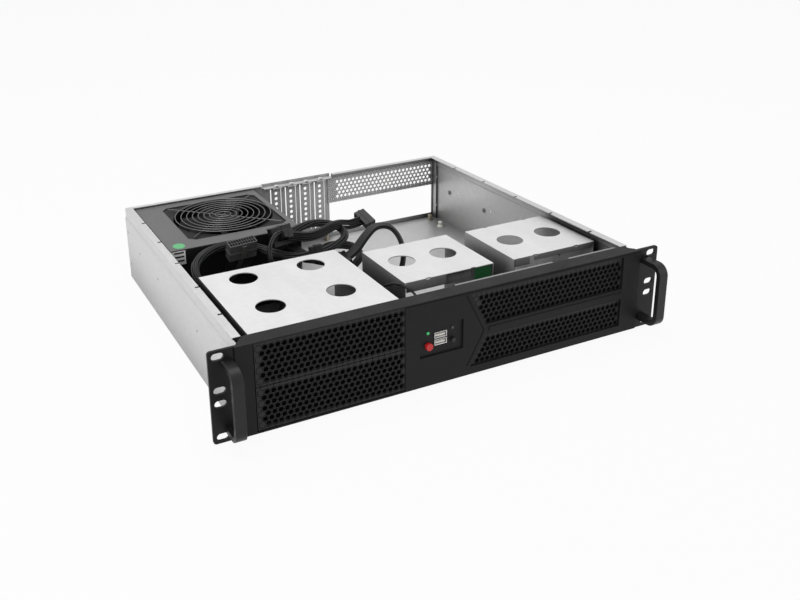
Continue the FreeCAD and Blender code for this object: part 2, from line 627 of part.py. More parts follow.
def make_cages():
    def holes(places, radius):
        return [(x, y, radius) for x, y in places]

    optical = make_cage("optical_cage", "optical_left", "optical_right", "front + optical_front",
                        "front + optical_back", "optical_top",
                        holes((("-160", "front + 132"), ("-88.5", "front + 131"), ("-160", "front + 61.5"),
                               ("-88.5", "front + 61.5")), "optical_hole"), ())
    middle = make_cage("drive_cage_middle", "middle_left", "middle_left + drive_width", "front + middle_front",
                       "front + middle_front + drive_depth", "drive_top",
                       holes((("middle_left + 25", "front + middle_front + 50"),
                              ("middle_left + 73", "front + middle_front + 48")), "drive_hole"),
                       (("2", "47", "0", "11"), ("47", "78", "3", "13"), ("88", "100", "3", "4")))
    right = make_cage("drive_cage_right", "right_left", "right_left + drive_width", "front + right_front",
                      "front + right_front + drive_depth", "drive_top",
                      holes((("right_left + 28", "front + right_front + 46"),
                             ("right_left + 77", "front + right_front + 46")), "drive_hole"),
                      (("2", "20", "0", "9"), ("26", "101", "0", "6")))
    backplane = block("drive_backplane", ("middle_left + 82", "middle_left + 101"),
                      ("front + middle_front + 1.2", "front + middle_front + 2.8"), ("42", "drive_top - 1.2"))
    return [optical, middle, right, backplane]


# ==== power supply ===============================================================================

def make_supply():
    """Power supply: a folded base and a cover, a 120 mm fan under a wire guard, a mains inlet with a
    rocker switch, and a circuit board with two heat sinks."""
    near, far = "front + supply_front", "front + supply_back"
    base = new_body("supply_base_fold")
    pad(base, "base_fold", "YZ", "supply_left + gauge", "supply_right - supply_left - 2 * gauge", [[
        (near, "supply_low"), (far, "supply_low"), (far, "supply_top - gauge"),
        (f"{far} - gauge", "supply_top - gauge"), (f"{far} - gauge", "supply_low + gauge"),
        (f"{near} + gauge", "supply_low + gauge"), (f"{near} + gauge", "supply_top - gauge"),
        (near, "supply_top - gauge")]])
    pocket(base, "inlet_opening", "XZ", f"{far} - 2", "3", [
        rect("supply_right - 43", "48", "supply_right - 14", "69"),
        rect("supply_right - 39", "21", "supply_right - 25", "37")])
    pocket(base, "cable_opening", "XZ", f"{near} - 1", "3", [
        rect("supply_right - 40", "12", "supply_right - 6", "72")])
    outlet = perforation("base_holes", "XZ", rect("supply_left + 12", "12", "supply_right - 48", "76"),
                         f"{far} - 2", "3")
    supply_base = cut("supply_base", base, [outlet])

    cover = new_body("supply_cover")
    pad(cover, "cover_fold", "XZ", near, f"({far}) - ({near})", [[
        ("supply_left", "supply_low + 6"), ("supply_left + gauge", "supply_low + 6"),
        ("supply_left + gauge", "supply_top - gauge"), ("supply_right - gauge", "supply_top - gauge"),
        ("supply_right - gauge", "supply_low + 6"), ("supply_right", "supply_low + 6"),
        ("supply_right", "supply_top"), ("supply_left", "supply_top")]])
    edge, corner = "(fan_size / 2 - 2)", "(fan_size / 2 - 9)"
    pocket(cover, "fan_opening", "XY", "supply_top - 2", "3", [[
        (f"fan_x + {sx} * {a}", f"fan_y + front + {sy} * {b}")
        for sx, sy, a, b in ((1, -1, corner, edge), (1, -1, edge, corner), (1, 1, edge, corner),
                             (1, 1, corner, edge), (-1, 1, corner, edge), (-1, 1, edge, corner),
                             (-1, -1, edge, corner), (-1, -1, corner, edge))]])

    floor = "supply_top - gauge - fan_deep"
    frame_block = block("fan_block", ("fan_x - fan_size / 2", "fan_x + fan_size / 2"),
                        ("front + fan_y - fan_size / 2", "front + fan_y + fan_size / 2"),
                        (floor, "supply_top - gauge"))
    bored = cut("fan_ring", frame_block, [
        rod("fan_bore_tool", "z", "fan_bore", ("fan_x", "front + fan_y", f"{floor} - 1"), "fan_deep + 2")])
    arms = [block("fan_arm_x", ("fan_x - fan_size / 2 + 1", "fan_x + fan_size / 2 - 1"),
                  ("front + fan_y - 2.5", "front + fan_y + 2.5"), (floor, f"{floor} + 3")),
            block("fan_arm_y", ("fan_x - 2.5", "fan_x + 2.5"),
                  ("front + fan_y - fan_size / 2 + 1", "front + fan_y + fan_size / 2 - 1"),
                  (floor, f"{floor} + 3")),
            rod("fan_motor_plate", "z", "hub_radius", ("fan_x", "front + fan_y", floor), "3")]
    frame = fuse("fan_frame", [bored] + arms)

    rotor = make_rotor(f"{floor} + 3.6")
    guard = make_guard()

    inlet_x = "supply_right - 28.5"
    inlet_body = block("inlet_body", (f"{inlet_x} - 14.2", f"{inlet_x} + 14.2"), (f"{far} - 15.5", f"{far} - 0.2"),
                       ("48.3", "68.7"))
    inlet_rim = block("inlet_rim", (f"{inlet_x} - 16", f"{inlet_x} + 16"), (f"{far} - 3", f"{far} - gauge"),
                      ("47", "70"))
    inlet_socket = block("inlet_socket", (f"{inlet_x} - 12", f"{inlet_x} + 12"), (f"{far} - 13", f"{far} + 1"),
                         ("50.3", "66.7"))
    socket = cut("inlet_hollow", fuse("inlet_solid", [inlet_body, inlet_rim]), [inlet_socket])
    pins = [block(f"inlet_pin_{i}", (f"{inlet_x} + {x} - 1", f"{inlet_x} + {x} + 1"),
                  (f"{far} - 13.5", f"{far} - 4"), (f"{z} - 2", f"{z} + 2"))
            for i, (x, z) in enumerate(((-7, "56"), (0, "61"), (7, "56")))]
    inlet = fuse("mains_inlet", [socket] + pins)

    rocker_x, rocker_z = "supply_right - 32", "29"
    housing = cut("rocker_housing", block("rocker_block", (f"{rocker_x} - 7", f"{rocker_x} + 7"),
                                          (f"{far} - 12", f"{far} + 0.6"), ("21", "37")),
                  [block("rocker_well", (f"{rocker_x} - 5", f"{rocker_x} + 5"), (f"{far} - 8", f"{far} + 1"),
                         ("22.6", "35.4"))])
    rocker = new_body("mains_rocker")
    pad(rocker, "rocker_body", "YZ", f"{rocker_x} - 4.8", "9.6", [[
        (f"{far} - 4", f"{rocker_z} - 2"), (f"{far} - 1.6", f"{rocker_z} - 5"), (f"{far} - 0.6", f"{rocker_z} - 5"),
        (f"{far} - 0.2", rocker_z), (f"{far} + 1", f"{rocker_z} + 4.6"), (f"{far} + 0.2", f"{rocker_z} + 4.8"),
        (f"{far} - 4", f"{rocker_z} + 2")]])

    grommet = make_grommet(near)
    board = block("supply_board_sheet", ("supply_left + 5", "supply_right - 5"), (f"{near} + 14", f"{far} - 20"),
                  ("supply_low + 8", "supply_low + 9.6"))
    feet = [rod(f"supply_post_{i}", "z", "3", (x, y, "supply_low + gauge"), "7.2")
            for i, (x, y) in enumerate((("supply_left + 12", f"{near} + 22"), ("supply_right - 46", f"{near} + 22"),
                                        ("supply_left + 12", f"{far} - 28"), ("supply_right - 46", f"{far} - 28")))]
    supply_board = fuse("supply_board", [board] + feet)
    sinks = []
    for i, x in enumerate(("supply_left + 40", "supply_left + 92")):
        web = block(f"sink_web_{i}", (x, f"{x} + 3"), (f"{near} + 24", f"{far} - 34"),
                    ("supply_low + 9.6", "56"))
        fins = [block(f"sink_fin_{i}_{k}", (f"{x} - 6", f"{x} + 9"), (f"{near} + {26 + 15 * k}", f"{near} + {28 + 15 * k}"),
                      ("24", "54")) for k in range(6)]
        sinks.append(fuse(f"sink_{i}", [web] + fins))
    return [supply_base, cover, frame, rotor, guard, inlet, housing, rocker, grommet, supply_board,
            group("supply_heat_sinks", sinks)]


def make_rotor(low):
    """Fan rotor: a hub with seven leaning blades, each a cambered section drawn out along a line that
    is swept back from the hub."""
    hub_radius, tip = number("hub_radius") - 0.5, number("fan_bore") - 8.5
    height, thick, blades = 19.5, 1.6, 7
    chord, lean, camber, sweep = 24, 38, 2.4, 14
    hub = Part.makeCylinder(hub_radius, height)
    root = V(0, hub_radius - 4, height / 2)
    along_chord = V(math.cos(math.radians(lean)), 0, math.sin(math.radians(lean))) * (chord / 2)
    out = V(-math.sin(math.radians(lean)), 0, math.cos(math.radians(lean)))
    arc = Part.Arc(root - along_chord, root + out * camber, root + along_chord).toShape()
    lower = arc.discretize(Number=5)
    upper = [corner + out * thick for corner in reversed(lower)]
    section = Part.Face(Part.makePolygon(lower + upper + lower[:1]))
    blade = section.extrude(V(-sweep, tip - root.y, 0))
    turned = []
    for k in range(blades):
        copy = blade.copy()
        copy.rotate(V(), V(0, 0, 1), 360 / blades * k)
        turned.append(copy)
    shape = hub.fuse(turned)
    shape.translate(V(number("fan_x"), number("front + fan_y"), number(low)))
    return built("fan_rotor", shape)


def make_guard():
    """Wire guard: rings of wire welded on two crossed wires that end at the fan's screws."""
    wire, sides = number("wire"), 12
    low = number("supply_top") + 1
    rings = []
    for k in range(int(number("wire_rings"))):
        middle = number("wire_first") + k * number("wire_step")
        faces = []
        for radius in (middle + wire / 2, middle - wire / 2):
            ring = [V(radius * math.cos(2 * math.pi * i / sides), radius * math.sin(2 * math.pi * i / sides), low)
                    for i in range(sides + 1)]
            faces.append(Part.Face(Part.makePolygon(ring)))
        rings.append(faces[0].cut(faces[1]).extrude(V(0, 0, wire)))
    reach = number("fan_size") / 2 * math.sqrt(2) - 12
    for angle in (45, 135):
        arm = Part.makeBox(2 * reach, wire, wire, V(-reach, -wire / 2, low - wire + 0.5))
        arm.rotate(V(), V(0, 0, 1), angle)
        rings.append(arm)
    shape = rings[0].fuse(rings[1:])
    shape.translate(V(number("fan_x"), number("front + fan_y"), 0))
    return built("fan_guard", shape)


def make_grommet(near):
    """Rubber surround of the cable opening, with a hole for each cable."""
    blank = block("grommet_blank", ("supply_right - 40", "supply_right - 6"), (f"{near} - 2", f"{near} + gauge"),
                  ("12", "72"))
    holes = [rod(f"grommet_hole_{name}", "y", f"{radius} + 0.1", (x, f"{near} - 3", z), "8")
             for name, radius, x, z in CABLE_EXITS]
    return cut("cable_grommet", blank, holes)


# ==== cables =====================================================================================

# Each exit: name, radius of its hole, and its place in the grommet.
CABLE_EXITS = (
    ("main", "main_cable / 2", "-86", "18"), ("cpu", "cpu_cable / 2", "-86", "33"),
    ("drive", "drive_cable / 2", "-68", "50"), ("sata", "sata_cable / 2", "-67", "65"),
    ("spare", "spare_cable / 2", "-70", "24"))

# The corners of each cable's route, chosen by hand, from where it leaves the power supply.
ROUTES = {
    "main_cable": [(-86, 52, 18), (-86, 29, 18), (-95, 8, 14), (-113, -8, 8), (-137, -16, 5.5),
        (-163, -15, 6), (-184, -4, 7), (-197, 16, 10), (-192, 36, 18), (-171, 46, 29), (-149, 40, 39),
        (-135, 32, 52), (-131, 27, 68)],
    "cpu_cable": [(-86, 52, 33), (-86, 30, 33), (-100, 10, 34), (-124, -3, 38), (-151, -7, 45),
        (-175, -2, 55), (-190, 13, 66), (-184, 32, 77), (-163, 43, 83), (-138, 48, 82), (-113, 41, 78),
        (-95, 24, 71), (-76, 10, 67), (-56, 3, 70), (-36, 3, 75), (-15, 9, 79), (-4, 28, 81), (-12, 48, 85),
        (-35, 53, 87), (-54, 47, 88), (-71, 41, 86)],
    "drive_cable": [(-68, 52, 50), (-68, 31, 50), (-79, 12, 50), (-97, 0, 55), (-111, -3, 69),
        (-112, 4, 87), (-99, 15, 97), (-79, 21, 91), (-59, 19, 89), (-39, 23, 94), (-21, 30, 98),
        (-3, 38, 96), (14, 45, 90), (31, 50, 93)],
    "sata_cable": [(-67, 52, 65), (-67, 31, 65), (-53, 14, 60), (-31, 8, 56), (-9, 11, 62), (8, 17, 77),
        (25, 20, 90), (44, 13, 90), (53, -1, 75), (50, -12, 54), (35, -20, 36), (13, -24, 25),
        (-11, -21, 17), (-35, -16, 10), (-59, -11, 5.5), (-83, -5, 5)],
    "spare_cable": [(-70, 52, 24), (-70, 30, 24), (-58, 10, 26), (-38, 0, 30), (-14, 0, 36), (4, 12, 42),
        (4, 32, 46), (-14, 44, 48), (-36, 40, 48), (-48, 28, 48)],
    "panel_cable": [(-16, -172.2, 58), (-16, -158, 58), (-14, -146, 67), (-16, -134, 80), (-25, -120, 87),
        (-34, -105, 78), (-37, -89, 62), (-38, -72, 44), (-37, -55, 27), (-34, -38, 11), (-27, -21, 4.2),
        (-15, -2, 3.4), (1, 18, 3.6), (19, 38, 3.6), (42, 50, 3.6)],
}


def make_cable(name):
    """A plain six-sided tube, mitred at every bend.  Its line follows straight runs joined by tangent
    arcs, each as large as its two runs allow."""
    corners = [V(*corner) for corner in ROUTES[name]]
    radius, step = number(name) / 2, math.radians(20)
    points, radii = [corners[0]], []
    for before, here, after in zip(corners, corners[1:], corners[2:]):
        inward, outward = here - before, after - here
        trim = 0.45 * min(inward.Length, outward.Length)
        turn = inward.getAngle(outward)
        radii.append(trim / math.tan(turn / 2))
        inward.normalize()
        outward.normalize()
        inset = radii[-1] / math.cos(turn / 2) - radii[-1]
        towards = (outward - inward).normalize()
        arc = Part.Arc(here - inward * trim, here + towards * inset, here + outward * trim).toShape()
        points += arc.discretize(Number=max(2, math.ceil(turn / step) + 1))
    path = Part.makePolygon(points + corners[-1:])
    direction = (corners[1] - corners[0]).normalize()
    upward = V(0, 0, 1)
    sideways = direction.cross(upward)
    ring = []
    for k in range(7):
        angle = math.radians(60 * k)
        ring.append(corners[0] + sideways * (radius * math.cos(angle)) + upward * (radius * math.sin(angle)))
    profile = Part.makePolygon(ring)
    tube = path.makePipeShell([profile], True, False, 1)
    expected = Part.Face(profile).Area * path.Length
    print(f"{name}: {path.Length:.0f} mm long, smallest radius {min(radii):.1f},"
          f" volume {tube.Volume / expected:.4f} of section times length")
    return built(name, tube)


def make_plug(name, size, at, forward, across, latch):
    """A cable plug: a housing with a raised band and, on one broad side, its latch.  It starts at the
    cable's end, points forward, and its width lies across."""
    wide, thick, long = size
    housing = Part.makeBox(wide, thick, long, V(-wide / 2, -thick / 2, 0))
    band = Part.makeBox(wide + 1, thick + 1, 2.4, V(-wide / 2 - 0.5, -thick / 2 - 0.5, long * 0.4))
    shape = housing.fuse(band)
    if latch:
        lever = Part.makeBox(5, 1.4, long * 0.8, V(-2.5, -thick / 2 - 2.4, long * 0.12))
        foot = Part.makeBox(5, 1.6, 2.4, V(-2.5, -thick / 2 - 1.5, long * 0.4))
        shape = shape.fuse([lever, foot])
    feature = built(name, shape.removeSplitter())
    turn = FreeCAD.Rotation(V(*across), V(), V(*forward), "ZXY")
    feature.Placement = FreeCAD.Placement(V(*at), turn)
    return feature


def make_plugs():
    """The plug on the far end of each cable."""
    return [
        make_plug("main_plug", (31, 11, 20), ROUTES["main_cable"][-1], (0, 0, 1), (1, 0.08, 0), True),
        make_plug("cpu_plug", (21, 11, 24), ROUTES["cpu_cable"][-1], (-1, -0.1, -0.08), (0.1, 0.35, 1), True),
        make_plug("drive_plug", (24, 7, 13), ROUTES["drive_cable"][-1], (0.97, 0.1, 0.2), (0.16, -0.93, -0.32),
                  False),
        make_plug("sata_plug", (22, 5, 14), ROUTES["sata_cable"][-1], (-1, 0.25, 0), (0.25, 1, 0), False),
        make_plug("spare_plug", (18, 8, 16), ROUTES["spare_cable"][-1], (-12, -12, 0), (1, -1, 0), False),
        make_plug("panel_plug", (12, 3.6, 13), ROUTES["panel_cable"][-1], (23, 12, 0), (12, -23, 0), False),
    ]


# ==== fasteners ==================================================================================

def screw(name, axis, at, inward, length):
    """A hexagon-head case screw: its head stands on 'at' and its shank goes the other way along the axis."""
    head_base = list(at)
    shank_base = list(at)
    index = "xyz".index(axis)
    head_base[index] = at[index] if inward > 0 else f"({at[index]}) - 1.8"
    shank_base[index] = f"({at[index]}) - {length}" if inward > 0 else at[index]
    head = doc.addObject("Part::Prism", f"{name}_head")
    head.Polygon = 6
    head.Placement = FreeCAD.Placement(V(), FreeCAD.Rotation(*TURNS[axis]))
    bind(head, "Circumradius", "screw_head")
    bind(head, "Height", "1.8")
    place(head, *head_base)
    shank = rod(f"{name}_shank", axis, "screw_shank", shank_base, length)
    return fuse(name, [head, shank])


def make_screws():
    """Screws in groups, each group where it holds one piece to another."""
    groups = []
    ears = []
    for side, name in ((-1, "left"), (1, "right")):
        for k, z in enumerate(("20", "54")):
            ears.append(screw(f"ear_screw_{name}_{k}", "x",
                              (f"{side} * (case_width / 2 - gauge - 2.1)", "front + 25", z), -side, "2.8"))
    groups.append(group("ear_screws", ears))
    backs = [screw(f"supply_screw_{k}", "y", (x, "front + case_depth", z), 1, "4")
             for k, (x, z) in enumerate((("supply_left + 3", "79"), ("supply_right - 3", "79"),
                                         ("supply_left + 3", "10"), ("supply_right - 3", "10")))]
    groups.append(group("supply_screws", backs))
    slots = [screw(f"slot_screw_{k}", "z", (f"slot_four - {k} * slot_pitch", "front + case_depth - 4.5",
                                            "shelf_height + gauge"), 1, "3")
             for k in range(4)]
    groups.append(group("slot_screws", slots))
    return groups


# ==== assembly ===================================================================================

tray = make_tray()
left_ear = make_ear()
left_handle = make_handle()
pieces = [
    tray, make_front_wall(), make_rear_panel(), make_rear_vent(), make_bracket_clamp(),
    *[make_slot_cover(index) for index in range(1, 5)], make_standoffs(),
    left_ear, mirror("right_ear", left_ear), left_handle, mirror("right_handle", left_handle),
    make_fascia(), make_mesh(), *make_filters(),
    make_bay_cover("bay_cover_lower", "bay_low", "bay_middle - 0.4"),
    make_bay_cover("bay_cover_upper", "bay_middle + 0.4", "bay_high"),
    *make_controls(), *make_cages(), *make_supply(), *make_screws(),
    *[make_cable(name) for name in ROUTES], *make_plugs(),
]
doc.recompute()

for thing in doc.Objects:
    if {"Invalid", "Error"} & set(thing.State):
        raise RuntimeError(f"{thing.Name} did not build: {thing.State}")
os.makedirs("parts", exist_ok=True)
for piece in pieces:
    if piece.Shape.isNull() or not piece.Shape.isValid():
        raise RuntimeError(f"{piece.Name} has no valid shape")
    piece.Shape.exportStep(f"parts/{piece.Name}.step")
print(f"{len(pieces)} nodes")
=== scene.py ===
"""Open 2U rackmount server case with its power supply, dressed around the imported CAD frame."""
import math

import bmesh
import bpy
from mathutils import Matrix, Vector


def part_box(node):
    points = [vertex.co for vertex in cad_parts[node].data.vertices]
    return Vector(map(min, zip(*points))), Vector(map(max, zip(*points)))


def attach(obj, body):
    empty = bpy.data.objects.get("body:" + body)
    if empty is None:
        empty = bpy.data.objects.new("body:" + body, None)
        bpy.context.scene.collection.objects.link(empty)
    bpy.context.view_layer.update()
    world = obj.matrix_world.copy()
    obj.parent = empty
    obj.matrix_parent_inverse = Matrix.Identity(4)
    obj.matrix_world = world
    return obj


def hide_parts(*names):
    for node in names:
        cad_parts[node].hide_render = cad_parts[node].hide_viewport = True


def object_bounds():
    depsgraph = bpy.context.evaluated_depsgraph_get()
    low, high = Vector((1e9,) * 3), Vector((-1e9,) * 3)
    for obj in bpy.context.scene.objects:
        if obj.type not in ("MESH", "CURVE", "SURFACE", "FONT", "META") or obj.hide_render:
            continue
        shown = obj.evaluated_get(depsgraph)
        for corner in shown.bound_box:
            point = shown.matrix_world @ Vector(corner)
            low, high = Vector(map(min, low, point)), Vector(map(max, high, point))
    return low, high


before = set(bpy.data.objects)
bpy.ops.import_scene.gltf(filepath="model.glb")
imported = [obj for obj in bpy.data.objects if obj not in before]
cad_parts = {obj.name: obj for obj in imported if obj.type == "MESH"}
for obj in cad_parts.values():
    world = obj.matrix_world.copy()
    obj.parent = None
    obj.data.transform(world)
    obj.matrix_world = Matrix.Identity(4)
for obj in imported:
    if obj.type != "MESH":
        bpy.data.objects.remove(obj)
cad_low, cad_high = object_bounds()
scene = bpy.context.scene
MM = 0.001


# ==== camera ====
# A view through a slightly long lens from the front left and above, as a catalogue shows a case. The
# place and the lens are in millimetres, and the lens is for a 36 mm wide sensor.
camera_place = Vector((-432.36, -842.67, 453.59)) * MM
heading, tilt, roll = math.radians(-24.269), math.radians(90 - 19.146), math.radians(-1.873)
camera = bpy.data.objects.new("camera", bpy.data.cameras.new("camera"))
scene.collection.objects.link(camera)
scene.camera = camera
camera.data.sensor_width = 36
camera.data.lens = 41.88
camera.data.shift_x = 0.1
camera.data.shift_y = -0.125
camera.data.clip_start, camera.data.clip_end = 0.05, 20
camera.matrix_world = (Matrix.Translation(camera_place) @ Matrix.Rotation(heading, 4, "Z")
                       @ Matrix.Rotation(tilt, 4, "X") @ Matrix.Rotation(roll, 4, "Z"))
scene.view_settings.view_transform = "Standard"


# ==== case shell ====
# Floor, sides, inner front wall and rear wall, folded from 1 mm galvanised steel and riveted. The
# zinc shows faint crystal patches and fine rolling lines. Painted shade darkens it deep inside the
# case, and the whole inner front wall takes a darker copy of the zinc as painted shade.
def finish(name, colour, rough, metal=0.0, mottle=0.07, patch=35.0, grain=0.08, grain_scale=900.0,
           stretch=(1, 1, 1), edge=0.0003, wear_and_edge_highlight=0.0, shine=0.5):
    """A node material: mottled colour and roughness, a fine bumpy grain, and softened edges.

    The edges can turn lighter in colour, partly as worn finish and partly as a painted highlight on the
    rounding.
    """
    material = bpy.data.materials.new(name)
    material.use_nodes = True
    nodes, link = material.node_tree.nodes, material.node_tree.links.new
    shader = nodes["Principled BSDF"]
    shader.inputs["Metallic"].default_value = metal
    shader.inputs["Specular IOR Level"].default_value = shine
    where = nodes.new("ShaderNodeTexCoord")
    turn = nodes.new("ShaderNodeMapping")
    turn.inputs["Scale"].default_value = stretch
    link(where.outputs["Object"], turn.inputs["Vector"])
    patches = nodes.new("ShaderNodeTexNoise")
    patches.inputs["Scale"].default_value = patch
    patches.inputs["Detail"].default_value = 5
    link(turn.outputs["Vector"], patches.inputs["Vector"])
    tint = nodes.new("ShaderNodeMix")
    tint.data_type = "RGBA"
    tint.inputs["A"].default_value = [c * (1 - mottle) for c in colour] + [1]
    tint.inputs["B"].default_value = [min(1, c * (1 + mottle)) for c in colour] + [1]
    link(patches.outputs["Fac"], tint.inputs["Factor"])
    fine = nodes.new("ShaderNodeTexNoise")
    fine.inputs["Scale"].default_value = grain_scale
    fine.inputs["Detail"].default_value = 3
    link(turn.outputs["Vector"], fine.inputs["Vector"])
    spread = nodes.new("ShaderNodeMapRange")
    spread.inputs["From Min"].default_value = 0.3
    spread.inputs["From Max"].default_value = 0.7
    spread.inputs["To Min"].default_value = rough * 0.85
    spread.inputs["To Max"].default_value = min(1, rough * 1.15)
    link(patches.outputs["Fac"], spread.inputs["Value"])
    link(spread.outputs["Result"], shader.inputs["Roughness"])
    rounded = nodes.new("ShaderNodeBevel")
    rounded.samples = 4
    rounded.inputs["Radius"].default_value = edge
    bump = nodes.new("ShaderNodeBump")
    bump.inputs["Strength"].default_value = grain
    bump.inputs["Distance"].default_value = 0.0004
    link(fine.outputs["Fac"], bump.inputs["Height"])
    link(rounded.outputs["Normal"], bump.inputs["Normal"])
    link(bump.outputs["Normal"], shader.inputs["Normal"])
    out = tint.outputs["Result"]
    # Lighter edges: partly worn finish, partly a painted highlight where the rounding catches light.
    if wear_and_edge_highlight:
        flat = nodes.new("ShaderNodeNewGeometry")
        turned = nodes.new("ShaderNodeVectorMath")
        turned.operation = "DOT_PRODUCT"
        link(flat.outputs["Normal"], turned.inputs[0])
        link(rounded.outputs["Normal"], turned.inputs[1])
        near_edge = nodes.new("ShaderNodeMapRange")
        near_edge.inputs["From Min"].default_value = 0.8
        near_edge.inputs["From Max"].default_value = 0.99
        near_edge.inputs["To Min"].default_value = wear_and_edge_highlight
        near_edge.inputs["To Max"].default_value = 0
        link(turned.outputs["Value"], near_edge.inputs["Value"])
        worn_and_highlit_edge = nodes.new("ShaderNodeMix")
        worn_and_highlit_edge.data_type = "RGBA"
        worn_and_highlit_edge.inputs["B"].default_value = [min(1, c * 3 + 0.1) for c in colour] + [1]
        link(out, worn_and_highlit_edge.inputs["A"])
        link(near_edge.outputs["Result"], worn_and_highlit_edge.inputs["Factor"])
        out = worn_and_highlit_edge.outputs["Result"]
    link(out, shader.inputs["Base Color"])
    return material


def wear_finish(material, *names):
    """Gives CAD nodes this material."""
    for name in names:
        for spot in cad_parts[name].material_slots:
            spot.material = material


def galvanised(name, colour, rough, metal):
    """Zinc-coated steel with faint crystals, and painted shade that turns it near black where walls stand
    close around it.
    """
    material = finish(name, colour, rough, metal, mottle=0.05, patch=60, grain=0.05, grain_scale=500,
                      stretch=(1, 0.25, 1), edge=0.0004, wear_and_edge_highlight=0.15)
    nodes, link = material.node_tree.nodes, material.node_tree.links.new
    crystals = nodes.new("ShaderNodeTexVoronoi")
    crystals.inputs["Scale"].default_value = 260
    link(nodes["Texture Coordinate"].outputs["Object"], crystals.inputs["Vector"])
    faint = nodes.new("ShaderNodeMix")
    faint.data_type = "RGBA"
    faint.blend_type = "SOFT_LIGHT"
    faint.inputs["Factor"].default_value = 0.12
    shader = nodes["Principled BSDF"]
    link(shader.inputs["Base Color"].links[0].from_socket, faint.inputs["A"])
    link(crystals.outputs["Color"], faint.inputs["B"])
    grey = nodes.new("ShaderNodeHueSaturation")
    grey.inputs["Saturation"].default_value = 0
    link(faint.outputs["Result"], grey.inputs["Color"])
    # Painted shade: the Ambient Occlusion node darkens the colour towards near black where walls stand close
    # around the zinc.
    painted_shade_occlusion = nodes.new("ShaderNodeAmbientOcclusion")
    painted_shade_occlusion.samples = 8
    painted_shade_occlusion.inputs["Distance"].default_value = 0.11
    painted_shade_level = nodes.new("ShaderNodeMapRange")
    painted_shade_level.inputs["From Min"].default_value = 0.2
    painted_shade_level.inputs["From Max"].default_value = 0.78
    painted_shade_level.inputs["To Min"].default_value = 0.03
    link(painted_shade_occlusion.outputs["AO"], painted_shade_level.inputs["Value"])
    painted_shade_mix = nodes.new("ShaderNodeMix")
    painted_shade_mix.data_type = "RGBA"
    painted_shade_mix.inputs["A"].default_value = (0.012, 0.012, 0.013, 1)
    link(grey.outputs["Color"], painted_shade_mix.inputs["B"])
    link(painted_shade_level.outputs["Result"], painted_shade_mix.inputs["Factor"])
    link(painted_shade_mix.outputs["Result"], shader.inputs["Base Color"])
    return material


zinc = galvanised("zinc_steel", (0.66, 0.66, 0.665), 0.4, 0.6)
# A darker copy of the same zinc, as painted shade on the inner front wall.
painted_shade_zinc = galvanised("painted_shade_zinc", (0.3, 0.3, 0.305), 0.5, 0.5)
wear_finish(painted_shade_zinc, "front_wall")
wear_finish(zinc, "chassis_tray", "rear_panel", "card_bracket_clamp", "slot_cover_1",
            "slot_cover_2", "slot_cover_3", "slot_cover_4")


# ==== board posts ====
# Turned brass posts pressed into the floor where a mainboard screws down.
brass = finish("brass", (0.42, 0.38, 0.3), 0.4, 1.0, grain=0.05)
wear_finish(brass, "board_standoffs")


# ==== rack ears and handles ====
# Black painted steel ears fold back along the case walls, and each carries a black bar handle.
black_paint = finish("black_paint", (0.012, 0.012, 0.013), 0.4, mottle=0.1, patch=50, grain=0.22,
                     grain_scale=1500, edge=0.0005, wear_and_edge_highlight=0.08, shine=0.2)
handle_paint = finish("handle_paint", (0.013, 0.013, 0.014), 0.38, mottle=0.1, patch=40, grain=0.12,
                      grain_scale=1200, edge=0.0012, wear_and_edge_highlight=0.08, shine=0.3)
wear_finish(black_paint, "left_ear", "right_ear")
wear_finish(handle_paint, "left_handle", "right_handle")


# ==== moulded front ====
# The case front is one black plastic moulding with a fine spark-eroded texture.
moulding = finish("moulding", (0.012, 0.012, 0.013), 0.48, mottle=0.06, patch=25, grain=0.3, grain_scale=2600,
                  edge=0.0007, wear_and_edge_highlight=0.06, shine=0.16)
wear_finish(moulding, "front_fascia")


# ==== air grille ====
# A black sheet with staggered round holes, clipped behind the two windows of the moulded front. Open
# black foam behind it, and behind the bay covers, keeps dust out.
def add(name, data, material):
    """Puts a finished mesh or curve on the case."""
    thing = bpy.data.objects.new(name, data)
    scene.collection.objects.link(thing)
    if not data.materials:
        data.materials.append(material)
    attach(thing, "chassis")
    return thing


def keep(name, form, material):
    """Turns finished bmesh work into a piece."""
    bmesh.ops.remove_doubles(form, verts=form.verts, dist=1e-7)
    bmesh.ops.recalc_face_normals(form, faces=form.faces)
    mesh = bpy.data.meshes.new(name)
    form.to_mesh(mesh)
    form.free()
    return add(name, mesh, material)


